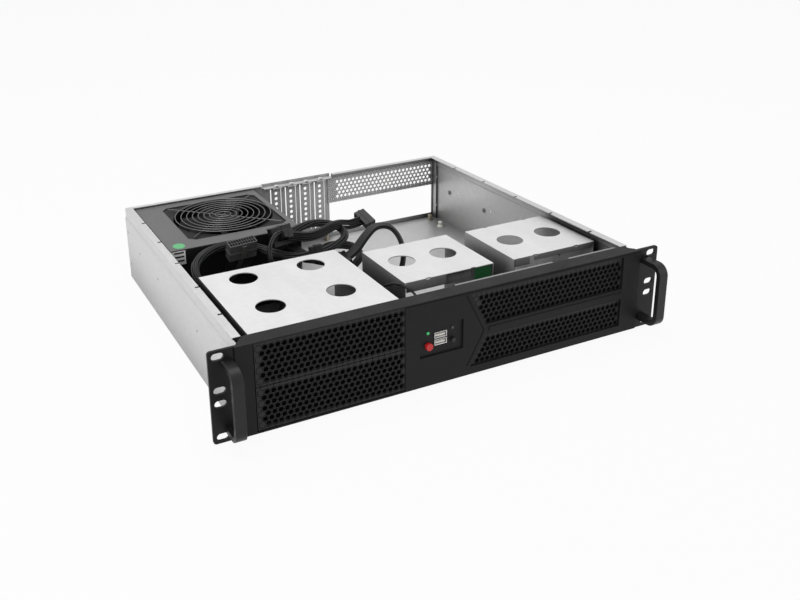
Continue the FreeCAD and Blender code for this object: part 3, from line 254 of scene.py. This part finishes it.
def perforated(name, outline, windows, pitch, radius, near, far, material):
    """A flat upright sheet, with a staggered field of holes in each window. Millimetres in.

    The sheet is laid from six-sided cells with or without a hole, and then cut to its outline.
    """
    row_step = pitch * math.sqrt(3) / 2
    hole_overlap, first_gap = 0.15, 0.2
    open_cell, shut_cell = bmesh.new(), bmesh.new()
    for form in (open_cell, shut_cell):
        outer = bmesh.ops.create_circle(form, segments=6, radius=pitch / math.sqrt(3),
                                        cap_ends=form is shut_cell)["verts"]
        bmesh.ops.rotate(form, verts=outer, cent=(0, 0, 0), matrix=Matrix.Rotation(math.pi / 6, 3, "Z"))
        bmesh.ops.subdivide_edges(form, edges=form.edges, cuts=1)
    bmesh.ops.create_circle(open_cell, segments=12, radius=radius)
    bmesh.ops.bridge_loops(open_cell, edges=open_cell.edges)
    cells = []
    for form in (open_cell, shut_cell):
        mesh = bpy.data.meshes.new("cell")
        form.to_mesh(mesh)
        form.free()
        cells.append(mesh)
    left, low, right, high = outline
    sheet = bmesh.new()

    def laid(cell, x, z):
        before = len(sheet.verts)
        sheet.from_mesh(cell)
        sheet.verts.ensure_lookup_table()
        bmesh.ops.translate(sheet, vec=(x, z, 0), verts=sheet.verts[before:])

    def in_window(x, z):
        for corners in windows:
            if all((b[0] - a[0]) * (z - a[1]) - (b[1] - a[1]) * (x - a[0])
                   > (radius - hole_overlap) * math.dist(a, b)
                   for a, b in zip(corners, corners[1:] + corners[:1])):
                return True
        return False

    first_x, first_z = windows[0][1][0] - radius - first_gap, windows[0][0][1] + radius
    rows = range(int((low - first_z) / row_step) - 2, int((high - first_z) / row_step) + 3)
    for row in rows:
        shift = (row % 2) * pitch / 2
        for column in range(-int((first_x - left) / pitch) - 3, int((right - first_x) / pitch) + 3):
            x, z = first_x + column * pitch - shift, first_z + row * row_step
            laid(cells[0] if in_window(x, z) else cells[1], x, z)
    bmesh.ops.remove_doubles(sheet, verts=sheet.verts, dist=0.01)
    for at, out in (((left, 0, 0), (-1, 0, 0)), ((right, 0, 0), (1, 0, 0)), ((0, low, 0), (0, -1, 0)),
                    ((0, high, 0), (0, 1, 0))):
        bmesh.ops.bisect_plane(sheet, geom=sheet.verts[:] + sheet.edges[:] + sheet.faces[:], dist=0.001,
                               plane_co=at, plane_no=out, clear_outer=True)
    pushed = bmesh.ops.extrude_face_region(sheet, geom=sheet.faces[:])["geom"]
    bmesh.ops.translate(sheet, vec=(0, 0, far - near),
                        verts=[v for v in pushed if isinstance(v, bmesh.types.BMVert)])
    bmesh.ops.transform(sheet, verts=sheet.verts, matrix=(
        Matrix.Translation((0, far * MM, 0)) @ Matrix.Rotation(math.pi / 2, 4, "X") @ Matrix.Scale(MM, 4)))
    for cell in cells:
        bpy.data.meshes.remove(cell)
    return keep(name, sheet, material)


grille_black = finish("grille_black", (0.018, 0.018, 0.019), 0.4, mottle=0.08, patch=40, grain=0.15,
                      grain_scale=1800, edge=0.0003, wear_and_edge_highlight=0.1, shine=0.25)
foam_black = finish("foam_black", (0.003, 0.003, 0.003), 0.9, mottle=0.5, patch=500, grain=1.0,
                    grain_scale=1400, edge=0.0001, shine=0.05)
wear_finish(foam_black, "grille_filter", "bay_filter_lower", "bay_filter_upper")
grille_low, grille_high = (c * 1000 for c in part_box("front_mesh"))
upper_window = [(34.2, 49.8), (195, 49.8), (195, 84.4), (15, 84.4)]
lower_window = [(17, 8.6), (195, 8.6), (195, 38.2), (34.2, 38.2)]
grille_pitch, grille_hole = 5.8, 2.4
grille = perforated("air_grille", (grille_low.x, grille_low.z, grille_high.x, grille_high.z),
                    [upper_window, lower_window], grille_pitch, grille_hole, grille_low.y, grille_high.y,
                    grille_black)
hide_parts("front_mesh")


# ==== rear vent ====
# A zinc-plated sheet with a fine staggered field of round holes, riveted inside the rear wall over
# the board's ports.
vent_low, vent_high = (c * 1000 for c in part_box("rear_vent"))
vent_left, vent_right, vent_bottom, vent_top = 61.3, 208, 53.4, 81
vent_pitch, vent_hole = 5.84, 2.0
vent = perforated("fine_rear_vent", (vent_low.x, vent_low.z, vent_high.x, vent_high.z),
                  [[(vent_left, vent_bottom), (vent_right, vent_bottom), (vent_right, vent_top),
                    (vent_left, vent_top)]],
                  vent_pitch, vent_hole, vent_low.y, vent_high.y, zinc)
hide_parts("rear_vent")


# ==== drive bay covers ====
# Two perforated black covers close the large drive bays one above the other. Each is a thin face
# with a flange folded back all round, and its foam sits inside.
def brick(form, low, high, soft=0.0, segments=2):
    """A box from one corner to the other, in metres, with softened edges."""
    low, high = Vector(low), Vector(high)
    corners = bmesh.ops.create_cube(form, size=1)["verts"]
    bmesh.ops.scale(form, vec=high - low, verts=corners)
    bmesh.ops.translate(form, vec=(low + high) / 2, verts=corners)
    if soft:
        edges = list({e for v in corners for e in v.link_edges})
        bmesh.ops.bevel(form, geom=edges, offset=soft, offset_type="OFFSET", affect="EDGES",
                        segments=segments, profile=0.5, material=-1)


cover_left, cover_right, face_front, face_back, flange_front = -201, -54, -184.2, -183.0, -183.6
flange, left_flange = 1.6, 2
cover_pitch, cover_hole = 6.0, 2.45
for level in ("lower", "upper"):
    low, high = (c * 1000 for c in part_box(f"bay_cover_{level}"))
    left, right, bottom, top = cover_left + 4, cover_right - 2.2, low.z + 2.4, high.z - 2.2
    cover = perforated(f"bay_face_{level}", (cover_left, low.z, cover_right, high.z),
                       [[(left, bottom), (right, bottom), (right, top), (left, top)]],
                       cover_pitch, cover_hole, face_front, face_back, grille_black)
    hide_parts(f"bay_cover_{level}")
    rim = bmesh.new()
    for a, b in (((cover_left, low.z), (cover_right, low.z + flange)),
                 ((cover_left, high.z - flange), (cover_right, high.z)),
                 ((cover_left, low.z), (cover_left + left_flange, high.z)),
                 ((cover_right - flange, low.z), (cover_right, high.z))):
        brick(rim, (a[0] * MM, flange_front * MM, a[1] * MM), (b[0] * MM, high.y * MM, b[1] * MM))
    keep(f"bay_rim_{level}", rim, grille_black)


# ==== controls ====
# A recessed plate with the power and reset buttons, two indicator lights and a pair of data ports, in
# front of a small circuit board that holds the switches. The reset button is of the plugs' nylon.
plate_black = finish("plate_black", (0.01, 0.01, 0.01), 0.5, grain=0.25, grain_scale=2500, shine=0.2)
plug_black = finish("plug_black", (0.014, 0.014, 0.015), 0.4, grain=0.12, edge=0.0003, shine=0.4)
red_plastic = finish("red_plastic", (0.62, 0.02, 0.02), 0.3, mottle=0.05, grain=0.03)
green_glow = finish("green_glow", (0.06, 0.62, 0.2), 0.25, mottle=0.05, grain=0.03)
dark_lens = finish("dark_lens", (0.05, 0.05, 0.05), 0.2, grain=0.03)
nickel = finish("nickel", (0.85, 0.85, 0.85), 0.25, 0.9, mottle=0.05, grain=0.03)
port_plastic = finish("port_plastic", (0.8, 0.78, 0.72), 0.45, grain=0.05)
board_green = finish("board_green", (0.02, 0.12, 0.04), 0.4, mottle=0.3, patch=400, grain=0.2)
wear_finish(plate_black, "control_plate", "tact_switches")
wear_finish(red_plastic, "power_button")
wear_finish(plug_black, "reset_button")
wear_finish(green_glow, "power_light")
wear_finish(dark_lens, "drive_light")
wear_finish(nickel, "port_shells")
wear_finish(port_plastic, "port_tongues")
wear_finish(board_green, "control_board")


# ==== drive cages ====
# Three upside-down trays of bright zinc-plated steel over the drives. A small upright circuit board
# stands beside the front of the middle one.
bright_zinc = galvanised("bright_zinc", (0.8, 0.8, 0.8), 0.45, 0.35)
wear_finish(bright_zinc, "optical_cage", "drive_cage_middle", "drive_cage_right")
wear_finish(board_green, "drive_backplane")


# ==== power supply ====
# A gunmetal-grey painted cover on a black base, with the mains inlet and switch at the back. A green
# paper seal sticks on top, and a white label with three plain bars on the end that the cables leave.
gunmetal = finish("gunmetal", (0.13, 0.13, 0.133), 0.42, 0.3, mottle=0.08, patch=30, grain=0.25,
                  grain_scale=1600, edge=0.0005, wear_and_edge_highlight=0.1)
aluminium = finish("aluminium", (0.6, 0.6, 0.6), 0.35, 1.0, grain=0.1, stretch=(1, 0.2, 1))
rubber = finish("rubber", (0.015, 0.015, 0.015), 0.6, grain=0.2)
wear_finish(gunmetal, "supply_cover")
white_paper = finish("white_paper", (0.92, 0.92, 0.91), 0.5, grain=0.05, grain_scale=1500, edge=0.0001)
green_paper = finish("green_paper", (0.12, 0.5, 0.2), 0.45, grain=0.05, grain_scale=1500, edge=0.0001)
cover_low, cover_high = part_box("supply_cover")
sticker_radius, sticker_thick, sticker_x, sticker_y = 7 * MM, 0.12 * MM, -0.1915, 0.0616
sticker = bmesh.new()
disc = bmesh.ops.create_circle(sticker, segments=32, radius=sticker_radius, cap_ends=True)["verts"]
bmesh.ops.scale(sticker, vec=(0.93, 1.1, 1), verts=disc)
raised = bmesh.ops.extrude_face_region(sticker, geom=sticker.faces[:])["geom"]
bmesh.ops.translate(sticker, vec=(0, 0, sticker_thick),
                    verts=[v for v in raised if isinstance(v, bmesh.types.BMVert)])
bmesh.ops.translate(sticker, vec=(sticker_x, sticker_y, cover_high.z), verts=sticker.verts)
keep("green_sticker", sticker, green_paper)
label_left, label_right, label_low, label_high = -0.2055, -0.1878, 0.069, 0.0845
strip = bmesh.new()
brick(strip, (label_left, cover_low.y - 0.00015, label_low), (label_right, cover_low.y + 0.0001, label_high),
      0.00005, 1)
keep("blank_label", strip, white_paper)
bar_left, bar_right, half_bar = -0.2, -0.1895, 0.0009
bars = bmesh.new()
for level in (0.0825, 0.078, 0.0735):
    brick(bars, (bar_left, cover_low.y - 0.0003, level - half_bar),
          (bar_right, cover_low.y - 0.0001, level + half_bar))
keep("label_bars", bars, plug_black)
wear_finish(black_paint, "supply_base")
wear_finish(aluminium, "supply_heat_sinks")
wear_finish(board_green, "supply_board")
wear_finish(rubber, "cable_grommet")
wear_finish(plug_black, "mains_inlet", "rocker_housing", "mains_rocker")


# ==== supply fan ====
# A 120 mm black fan under a dark-plated wire guard of eight rings welded on two crossed wires.
fan_black = finish("fan_black", (0.005, 0.005, 0.005), 0.4, grain=0.08, edge=0.0005, shine=0.12)
guard_wire = finish("guard_wire", (0.16, 0.16, 0.16), 0.35, 0.8, mottle=0.1, grain=0.05, edge=0.0001)
wear_finish(fan_black, "fan_frame", "fan_rotor")
guard_low, guard_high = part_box("fan_guard")
fan_centre = (guard_low + guard_high) / 2
wire_radius, inner_ring, ring_step, rings, arm_reach = 0.55 * MM, 9, 6.6, 8, 72.8
ring_height, arm_height, guard_drop = 0.75 * MM, -0.3 * MM, 1.5 * MM
guard = bmesh.new()
for k in range(rings):
    ring_radius = (inner_ring + ring_step * k) * MM
    section = bmesh.ops.create_circle(guard, segments=8, radius=wire_radius)["verts"]
    bmesh.ops.rotate(guard, verts=section, cent=(0, 0, 0), matrix=Matrix.Rotation(math.pi / 2, 3, "X"))
    bmesh.ops.translate(guard, verts=section, vec=(ring_radius, 0, ring_height))
    bmesh.ops.spin(guard, geom=section + list({e for v in section for e in v.link_edges}), cent=(0, 0, 0),
                   axis=(0, 0, 1), angle=2 * math.pi, steps=64, use_merge=True)
for angle in (45, 135):
    arm = bmesh.ops.create_cone(guard, cap_ends=True, segments=8, radius1=wire_radius, radius2=wire_radius,
                                depth=2 * arm_reach * MM)["verts"]
    bmesh.ops.rotate(guard, verts=arm, cent=(0, 0, 0), matrix=Matrix.Rotation(math.pi / 2, 3, "Y"))
    bmesh.ops.rotate(guard, verts=arm, cent=(0, 0, 0), matrix=Matrix.Rotation(math.radians(angle), 3, "Z"))
    bmesh.ops.translate(guard, verts=arm, vec=(0, 0, arm_height))
bmesh.ops.translate(guard, verts=guard.verts, vec=(fan_centre.x, fan_centre.y, guard_high.z - guard_drop))
wire_guard = keep("wire_guard", guard, guard_wire)
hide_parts("fan_guard")


# ==== power supply cables ====
# Black insulated wires, bundled by cable: the main one in a braided nylon sleeve, two as loose bundles
# of twelve wires and two as flat ribbons two wires deep. Three thin leads come from the controls.
def woven(name, colour, rough, along, across):
    """A braided sleeve, checked by that many strands along and around the curve's own UV map."""
    material = finish(name, colour, rough, mottle=0.2, patch=120, edge=0.0001)
    nodes, link = material.node_tree.nodes, material.node_tree.links.new
    strip = nodes.new("ShaderNodeUVMap")
    repeat = nodes.new("ShaderNodeMapping")
    repeat.inputs["Scale"].default_value = (along, across, 1)
    link(strip.outputs["UV"], repeat.inputs["Vector"])
    check = nodes.new("ShaderNodeTexChecker")
    check.inputs["Scale"].default_value = 1
    link(repeat.outputs["Vector"], check.inputs["Vector"])
    weave = nodes.new("ShaderNodeBump")
    weave.inputs["Strength"].default_value = 0.35
    weave.inputs["Distance"].default_value = 0.0002
    link(check.outputs["Fac"], weave.inputs["Height"])
    link(nodes["Bump"].outputs["Normal"], weave.inputs["Normal"])
    link(weave.outputs["Normal"], nodes["Principled BSDF"].inputs["Normal"])
    return material


wire_black = finish("wire_black", (0.011, 0.011, 0.012), 0.36, mottle=0.3, patch=90, grain=0.05, edge=0.0001,
                    shine=0.35)
sleeve_black = woven("sleeve_black", (0.016, 0.016, 0.017), 0.5, 420, 16)


def round_curve(name, radius, roundness):
    """An empty curve whose splines become round and closed at their ends."""
    data = bpy.data.curves.new(name, "CURVE")
    data.dimensions = "3D"
    data.resolution_u = 12
    data.bevel_depth = radius
    data.bevel_resolution = roundness
    data.use_fill_caps = True
    return data


def smooth_spline(data, stops):
    """A spline from the first stop to the last that bends towards those between, in metres."""
    spline = data.splines.new("NURBS")
    spline.points.add(len(stops) - 1)
    for spot, here in zip(spline.points, stops):
        spot.co = (*here, 1)
    spline.order_u = 3
    spline.use_endpoint_u = True


def as_mesh(name, data):
    """The mesh of a curve."""
    holder = bpy.data.objects.new(name, data)
    mesh = bpy.data.meshes.new_from_object(holder)
    bpy.data.objects.remove(holder)
    mesh.name = name
    return mesh


def route_curve(name, points, radius):
    """A round cable along a route, whose points are in millimetres."""
    data = round_curve(name, radius, 4)
    smooth_spline(data, [(x * MM, y * MM, z * MM) for x, y, z in points])
    return data


def centreline(points):
    """The points that a route's curve passes through, with each point's forward, side and up."""
    mesh = as_mesh("centreline", route_curve("centreline", points, 0))
    line = [v.co.copy() for v in mesh.vertices]
    bpy.data.meshes.remove(mesh)
    frames, side = [], None
    for i, here in enumerate(line):
        ahead = (line[min(i + 1, len(line) - 1)] - line[max(i - 1, 0)]).normalized()
        if side is None:
            side = ahead.cross(Vector((0, 0, 1))).normalized()
        side = (side - ahead * side.dot(ahead)).normalized()
        frames.append((ahead, side, side.cross(ahead)))
    return line, frames


def wires(name, cable, points, spots, radius, twist, wobble=0.0):
    """Bare wires in place of a CAD cable. Gives the piece and the line that its wires follow.

    Each spot is a wire's place across the bundle. Spots, radius and wobble are in millimetres, and
    twist is the turn of the whole bundle from end to end, in radians.
    """
    ripples_per_metre, ripple_shift, ripple_rise = 90, 2.1, 0.7
    line, frames = centreline(points)
    data = round_curve(name, radius * MM, 2)
    run = [0.0]
    for a, b in zip(line, line[1:]):
        run.append(run[-1] + (b - a).length)
    for k, (across, up) in enumerate(spots):
        spline = data.splines.new("POLY")
        spline.points.add(len(line) - 1)
        for i, here in enumerate(line):
            ahead, side, above = frames[i]
            turn = twist * run[i] / run[-1]
            c, s = math.cos(turn), math.sin(turn)
            ripple = wobble * MM * math.sin(run[i] * ripples_per_metre + k * ripple_shift)
            u = (across * c - up * s) * MM + ripple
            w = (across * s + up * c) * MM + ripple * ripple_rise
            spline.points[i].co = (*(here + side * u + above * w), 1)
    piece = add(name, as_mesh(name, data), wire_black)
    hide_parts(cable)
    return piece, line


main_route = [(-86, 52, 18), (-86, 29, 18), (-95, 8, 14), (-113, -8, 8), (-137, -16, 5.5), (-163, -15, 6),
              (-184, -4, 7), (-197, 16, 10), (-192, 36, 18), (-171, 46, 29), (-151, 41, 42),
              (-137, 34, 57), (-133, 31, 74)]
cpu_route = [(-86, 52, 33), (-86, 30, 33), (-100, 10, 34), (-124, -3, 38), (-151, -7, 45), (-175, -2, 55),
             (-190, 13, 66), (-184, 32, 77), (-163, 43, 83), (-138, 48, 82), (-113, 41, 78), (-95, 25, 71),
             (-76, 13, 67), (-56, 7, 70), (-36, 7, 74), (-18, 14, 77), (-10, 31, 80), (-17, 47, 84),
             (-36, 53, 87), (-54, 47, 88), (-71, 41, 86)]
drive_route = [(-68, 52, 50), (-68, 31, 50), (-79, 12, 50), (-97, 0, 55), (-111, -3, 69), (-112, 4, 87),
               (-99, 15, 97), (-79, 21, 91), (-60, 18, 86), (-42, 21, 87), (-26, 28, 89), (-11, 37, 86),
               (4, 43, 80), (18, 47, 81)]
sata_route = [(-67, 52, 65), (-67, 31, 65), (-53, 12, 59), (-32, 3, 56), (-12, 3, 64), (3, 7, 78),
              (18, 10, 88), (35, 4, 86), (42, -8, 70), (38, -19, 51), (25, -26, 35), (6, -27, 24),
              (-14, -23, 17), (-36, -16, 12), (-59, -11, 9), (-83, -5, 8)]
spare_route = [(-70, 52, 24), (-70, 30, 24), (-58, 10, 30), (-38, 2, 38), (-15, 3, 46), (3, 14, 53),
               (3, 33, 58), (-14, 44, 60), (-36, 40, 60), (-47, 29, 59)]
panel_route = [(-16, -172.2, 58), (-16, -158, 58), (-14, -146, 62), (-16, -134, 72), (-25, -120, 79),
               (-34, -105, 72), (-37, -89, 58), (-38, -72, 44), (-37, -55, 27), (-34, -38, 11),
               (-27, -21, 4.2), (-15, -2, 3.4), (1, 18, 3.6), (19, 38, 3.6), (42, 50, 3.6)]
sleeve_radius = 4.4 * MM
main_cable = add("main_sleeve", route_curve("main_sleeve", main_route, sleeve_radius), sleeve_black)
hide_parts("main_cable")

two_rings = [(radius * math.cos(k * math.tau / count), radius * math.sin(k * math.tau / count))
             for radius, count in ((1.3, 3), (3.3, 9)) for k in range(count)]
five_across = [(x, y) for x in (-4.4, -2.2, 0, 2.2, 4.4) for y in (-1.05, 1.05)]
six_across = [(x, y) for x in (-5.6, -3.4, -1.1, 1.1, 3.4, 5.6) for y in (-1.1, 1.1)]
three_leads = [(0.75, 0), (-0.4, 0.65), (-0.4, -0.65)]
cpu_cable, cpu_line = wires("cpu_wires", "cpu_cable", cpu_route, two_rings, 1.15, twist=9, wobble=0.3)
drive_cable, drive_line = wires("drive_ribbon", "drive_cable", drive_route, five_across, 1.1, twist=1.2,
                                wobble=0.2)
sata_cable, sata_line = wires("sata_ribbon", "sata_cable", sata_route, six_across, 1.15, twist=0.6)
spare_cable, spare_line = wires("spare_wires", "spare_cable", spare_route, two_rings, 1.2, twist=5,
                                wobble=0.3)
panel_cable, panel_line = wires("panel_leads", "panel_cable", panel_route, three_leads, 0.65, twist=60)


# ==== plugs on the cables ====
# Nylon housings with rows of pin sockets in the mating face and the wires crimped in behind. A
# lever on one broad side latches the plug into its board socket.
def plug_axes(forward, across):
    """A plug's directions along its rows of sockets, from row to row, and out of its mating face."""
    z = Vector(forward).normalized()
    x = (Vector(across) - z * Vector(across).dot(z)).normalized()
    return x, z.cross(x), z


plug_grey = finish("plug_grey", (0.07, 0.07, 0.069), 0.42, grain=0.1, edge=0.0003)


def plug(name, size, at, forward, across, columns, rows, material, latch=True):
    """A housing whose mating face has a grid of square sockets. It starts at the cable's end."""
    wide, thick, long = (s * MM for s in size)
    both_walls, socket_wall, socket_depth = 1.6 * MM, 0.35 * MM, 5 * MM
    band_out, band_low, band_high = 0.5 * MM, long * 0.4, long * 0.4 + 2.4 * MM
    side, soft, half_lever = -thick / 2, 0.3 * MM, 2.5 * MM
    form = bmesh.new()
    grid = bmesh.ops.create_grid(form, x_segments=columns, y_segments=rows, size=0.5)["verts"]
    bmesh.ops.scale(form, vec=(wide - both_walls, thick - both_walls, 1), verts=grid)
    bmesh.ops.translate(form, vec=(0, 0, long), verts=grid)
    cells = list(form.faces)
    bmesh.ops.inset_individual(form, faces=cells, thickness=socket_wall)
    pits = bmesh.ops.extrude_discrete_faces(form, faces=cells)["faces"]
    bmesh.ops.translate(form, vec=(0, 0, -socket_depth), verts=list({v for f in pits for v in f.verts}))
    rim = [e for e in form.edges if e.is_boundary and all(abs(v.co.z - long) < 1e-6 for v in e.verts)]
    walls = bmesh.ops.extrude_edge_only(form, edges=rim)["geom"]
    outer = [v for v in walls if isinstance(v, bmesh.types.BMVert)]
    bmesh.ops.scale(form, vec=(wide / (wide - both_walls), thick / (thick - both_walls), 1), verts=outer)
    rim = [e for e in walls if isinstance(e, bmesh.types.BMEdge)]
    walls = bmesh.ops.extrude_edge_only(form, edges=rim)["geom"]
    back = [v for v in walls if isinstance(v, bmesh.types.BMVert)]
    bmesh.ops.translate(form, vec=(0, 0, -long), verts=back)
    bmesh.ops.holes_fill(form, edges=[e for e in form.edges if e.is_boundary], sides=0)
    brick(form, (-wide / 2 - band_out, side - band_out, band_low),
          (wide / 2 + band_out, thick / 2 + band_out, band_high), soft)
    if latch:
        # The lever stands clear of the housing and joins it over the band.
        brick(form, (-half_lever, side - 2.4 * MM, long * 0.12), (half_lever, side - 1.0 * MM, long * 0.92),
              soft)
        brick(form, (-half_lever, side - 1.5 * MM, band_low), (half_lever, side + 0.1 * MM, band_high))
    turn = Matrix(plug_axes(forward, across)).transposed().to_4x4()
    bmesh.ops.transform(form, matrix=Matrix.Translation(Vector(at) * MM) @ turn, verts=form.verts)
    piece = keep(name, form, material)
    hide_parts(name.replace("_housing", ""))
    return piece


main_plug_size, main_plug_forward, main_plug_across = (31, 11, 20), (0, -0.32, 1), (1, 0.08, 0)
main_plug = plug("main_plug_housing", main_plug_size, main_route[-1], main_plug_forward, main_plug_across,
                 10, 2, plug_grey)
cpu_plug = plug("cpu_plug_housing", (21, 11, 24), cpu_route[-1], (-1, -0.1, -0.08), (0.1, 0.35, 1), 4, 2,
                plug_black)
drive_plug = plug("drive_plug_housing", (24, 7, 13), drive_route[-1], (0.97, 0.1, 0.2), (0.16, -0.93, -0.32),
                  4, 1, plug_black, False)
sata_plug = plug("sata_plug_housing", (22, 5, 14), sata_route[-1], (-1, 0.25, 0), (0.25, 1, 0), 6, 1,
                 plug_black, False)
spare_plug = plug("spare_plug_housing", (18, 8, 16), spare_route[-1], (-12, -12, 0), (1, -1, 0), 4, 2,
                  plug_black, False)
panel_plug = plug("panel_plug_housing", (12, 3.6, 13), panel_route[-1], (23, 12, 0), (12, -23, 0), 5, 1,
                  plug_black, False)


def fanned(name, points, size, forward, across, columns, rows):
    """Wires that leave the end of a sleeve and spread to the plug's pins. Their ends lie in its back."""
    lead_radius, root_radius, root_turn, root_share = 0.85 * MM, 2.6, 2.4, 0.88
    pin_margin = (3, 5)
    line, frames = centreline(points)
    first = round(root_share * (len(line) - 1))
    ahead, side, above = frames[first]
    middle = line[(first + len(line)) // 2]
    x, y, z = plug_axes(forward, across)
    data = round_curve(name, lead_radius, 2)
    for k in range(columns * rows):
        column, row = k % columns, k // columns
        pin = (x * (column - (columns - 1) / 2) * (size[0] - pin_margin[0]) / (columns - 1)
               + y * (row - (rows - 1) / 2) * (size[1] - pin_margin[1])) * MM
        angle = k * root_turn
        root = line[first] + (side * math.cos(angle) + above * math.sin(angle)) * root_radius * MM
        end = line[-1] + pin
        smooth_spline(data, (root, root.lerp(middle + pin * 0.35, 0.5), middle + pin * 0.75,
                             end - z * 5 * MM, end + z * MM))
    return add(name, as_mesh(name, data), wire_black)


def inline_block(name, points, share, size):
    """A drive power connector moulded round its cable part of the way along, with a collar."""
    line, frames = centreline(points)
    at = round(share * (len(line) - 1))
    ahead, side, above = frames[at]
    wide, thick, long = (s * MM / 2 for s in size)
    collar_out, collar_long = 0.6 * MM, long * 0.2
    form = bmesh.new()
    brick(form, (-wide, -thick, -long), (wide, thick, long), 0.7 * MM)
    brick(form, (-wide - collar_out, -thick - collar_out, -collar_long),
          (wide + collar_out, thick + collar_out, collar_long), 0.3 * MM)
    turn = Matrix((side, above, ahead)).transposed().to_4x4()
    bmesh.ops.transform(form, matrix=Matrix.Translation(line[at]) @ turn, verts=form.verts)
    return keep(name, form, plug_black)


main_fan = fanned("main_plug_wires", main_route, main_plug_size, main_plug_forward, main_plug_across, 10, 2)
drive_block = inline_block("drive_inline_connector", drive_route, 0.5, (19, 9, 12))
cpu_block = inline_block("cpu_inline_connector", cpu_route, 0.66, (17, 9, 14))
sata_block = inline_block("sata_inline_connector", sata_route, 0.2, (21, 6, 14))


# ==== screws ====
# Small plated hexagon-head screws hold the ears, the power supply and the slot covers. Two darker
# round-headed screws stand on the inside of the right wall.
wear_finish(nickel, "ear_screws", "supply_screws", "slot_screws")
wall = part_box("chassis_tray")[1].x - 0.001
head_radius, head_top_radius, head_thick, head_z = 2.9 * MM, 2.2 * MM, 1.6 * MM, 0.0468
heads = bmesh.new()
for back in (0.1658, 0.0846):
    head = bmesh.ops.create_cone(heads, cap_ends=True, segments=20, radius1=head_radius,
                                 radius2=head_top_radius, depth=head_thick)["verts"]
    bmesh.ops.rotate(heads, verts=head, cent=(0, 0, 0), matrix=Matrix.Rotation(-math.pi / 2, 3, "Y"))
    bmesh.ops.translate(heads, verts=head, vec=(wall - head_thick / 2, back, head_z))
rims = [e for e in heads.edges if all(v.co.x < wall - 1.5 * MM for v in e.verts)]
bmesh.ops.bevel(heads, geom=rims, offset=0.5 * MM, offset_type="OFFSET", affect="EDGES", segments=3,
                profile=0.5, material=-1)
dark_steel = finish("dark_steel", (0.16, 0.16, 0.165), 0.35, 0.8, grain=0.05)
keep("wall_screws", heads, dark_steel)


# ==== board clip ====
# A white nylon clip snapped into the floor steadies the board's far corner. It is a foot, a neck and
# a head, each narrower at its top.
clip_x, clip_y = 0.1999, 0.1665
clip = bmesh.new()
for radius, low, high in ((4.2, 0.9, 2.2), (2.2, 2.2, 6.0), (3.0, 6.0, 7.4)):
    disc = bmesh.ops.create_cone(clip, cap_ends=True, segments=20, radius1=radius * MM,
                                 radius2=radius * 0.85 * MM, depth=(high - low) * MM)["verts"]
    bmesh.ops.translate(clip, verts=disc, vec=(clip_x, clip_y, (low + high) / 2 * MM))
keep("board_clip", clip, port_plastic)


# ==== floor and light ====
# A white studio floor and backdrop, a broad soft light overhead and two softer ones at the sides.
def seen_directly(nodes, link):
    """1 for what the camera, a mirror or glass looks at, and 0 for light that falls on the object."""
    rays = nodes.new("ShaderNodeLightPath")
    total = rays.outputs["Is Camera Ray"]
    for kind in ("Is Glossy Ray", "Is Transmission Ray"):
        both = nodes.new("ShaderNodeMath")
        both.operation = "MAXIMUM"
        link(total, both.inputs[0])
        link(rays.outputs[kind], both.inputs[1])
        total = both.outputs["Value"]
    return total


floor_paint = bpy.data.materials.new("floor_paint")
floor_paint.use_nodes = True
nodes, link = floor_paint.node_tree.nodes, floor_paint.node_tree.links.new
nodes["Principled BSDF"].inputs["Base Color"].default_value = (0.8, 0.8, 0.8, 1)
nodes["Principled BSDF"].inputs["Roughness"].default_value = 0.9
glow = nodes.new("ShaderNodeEmission")
glow.inputs["Strength"].default_value = 1
floor_whiteness = 0.93
share = nodes.new("ShaderNodeMath")
share.operation = "MULTIPLY"
share.inputs[1].default_value = floor_whiteness
mixed = nodes.new("ShaderNodeMixShader")
link(seen_directly(nodes, link), share.inputs[0])
link(share.outputs["Value"], mixed.inputs["Fac"])
link(nodes["Principled BSDF"].outputs["BSDF"], mixed.inputs[1])
link(glow.outputs["Emission"], mixed.inputs[2])
link(mixed.outputs["Shader"], nodes["Material Output"].inputs["Surface"])
ground = bmesh.new()
bmesh.ops.create_grid(ground, x_segments=1, y_segments=1, size=6)
bmesh.ops.translate(ground, vec=(0, 0, cad_low.z - 0.0002), verts=ground.verts)
floor_mesh = bpy.data.meshes.new("studio_floor")
ground.to_mesh(floor_mesh)
ground.free()
floor_mesh.materials.append(floor_paint)
studio_floor = bpy.data.objects.new("studio_floor", floor_mesh)
scene.collection.objects.link(studio_floor)

world = bpy.data.worlds.new("studio")
scene.world = world
world.use_nodes = True
nodes, link = world.node_tree.nodes, world.node_tree.links.new
ambient = nodes["Background"]
ambient.inputs["Color"].default_value = (1, 1, 1, 1)
ambient.inputs["Strength"].default_value = 0.4
white = nodes.new("ShaderNodeBackground")
white.inputs["Strength"].default_value = 1
mixed = nodes.new("ShaderNodeMixShader")
link(seen_directly(nodes, link), mixed.inputs["Fac"])
link(ambient.outputs["Background"], mixed.inputs[1])
link(white.outputs["Background"], mixed.inputs[2])
link(mixed.outputs["Shader"], nodes["World Output"].inputs["Surface"])


def softbox(name, at, towards, size, power):
    """A flat lamp that faces a place, with its size in metres and its power in watts."""
    lamp = bpy.data.lights.new(name, "AREA")
    lamp.shape = "RECTANGLE"
    lamp.size, lamp.size_y = size
    lamp.energy = power
    thing = bpy.data.objects.new(name, lamp)
    scene.collection.objects.link(thing)
    thing.location = at
    thing.rotation_euler = (Vector(towards) - Vector(at)).to_track_quat("-Z", "Y").to_euler()


softbox("overhead", (-0.2, 0.3, 1.6), (0, 0, 0), (1.6, 1.6), 14)
softbox("left_front", (-1.3, -1.0, 0.9), (0, 0, 0.05), (1.0, 1.0), 7)
softbox("right_front", (1.2, -1.2, 0.7), (0, 0, 0.05), (1.0, 1.0), 3)
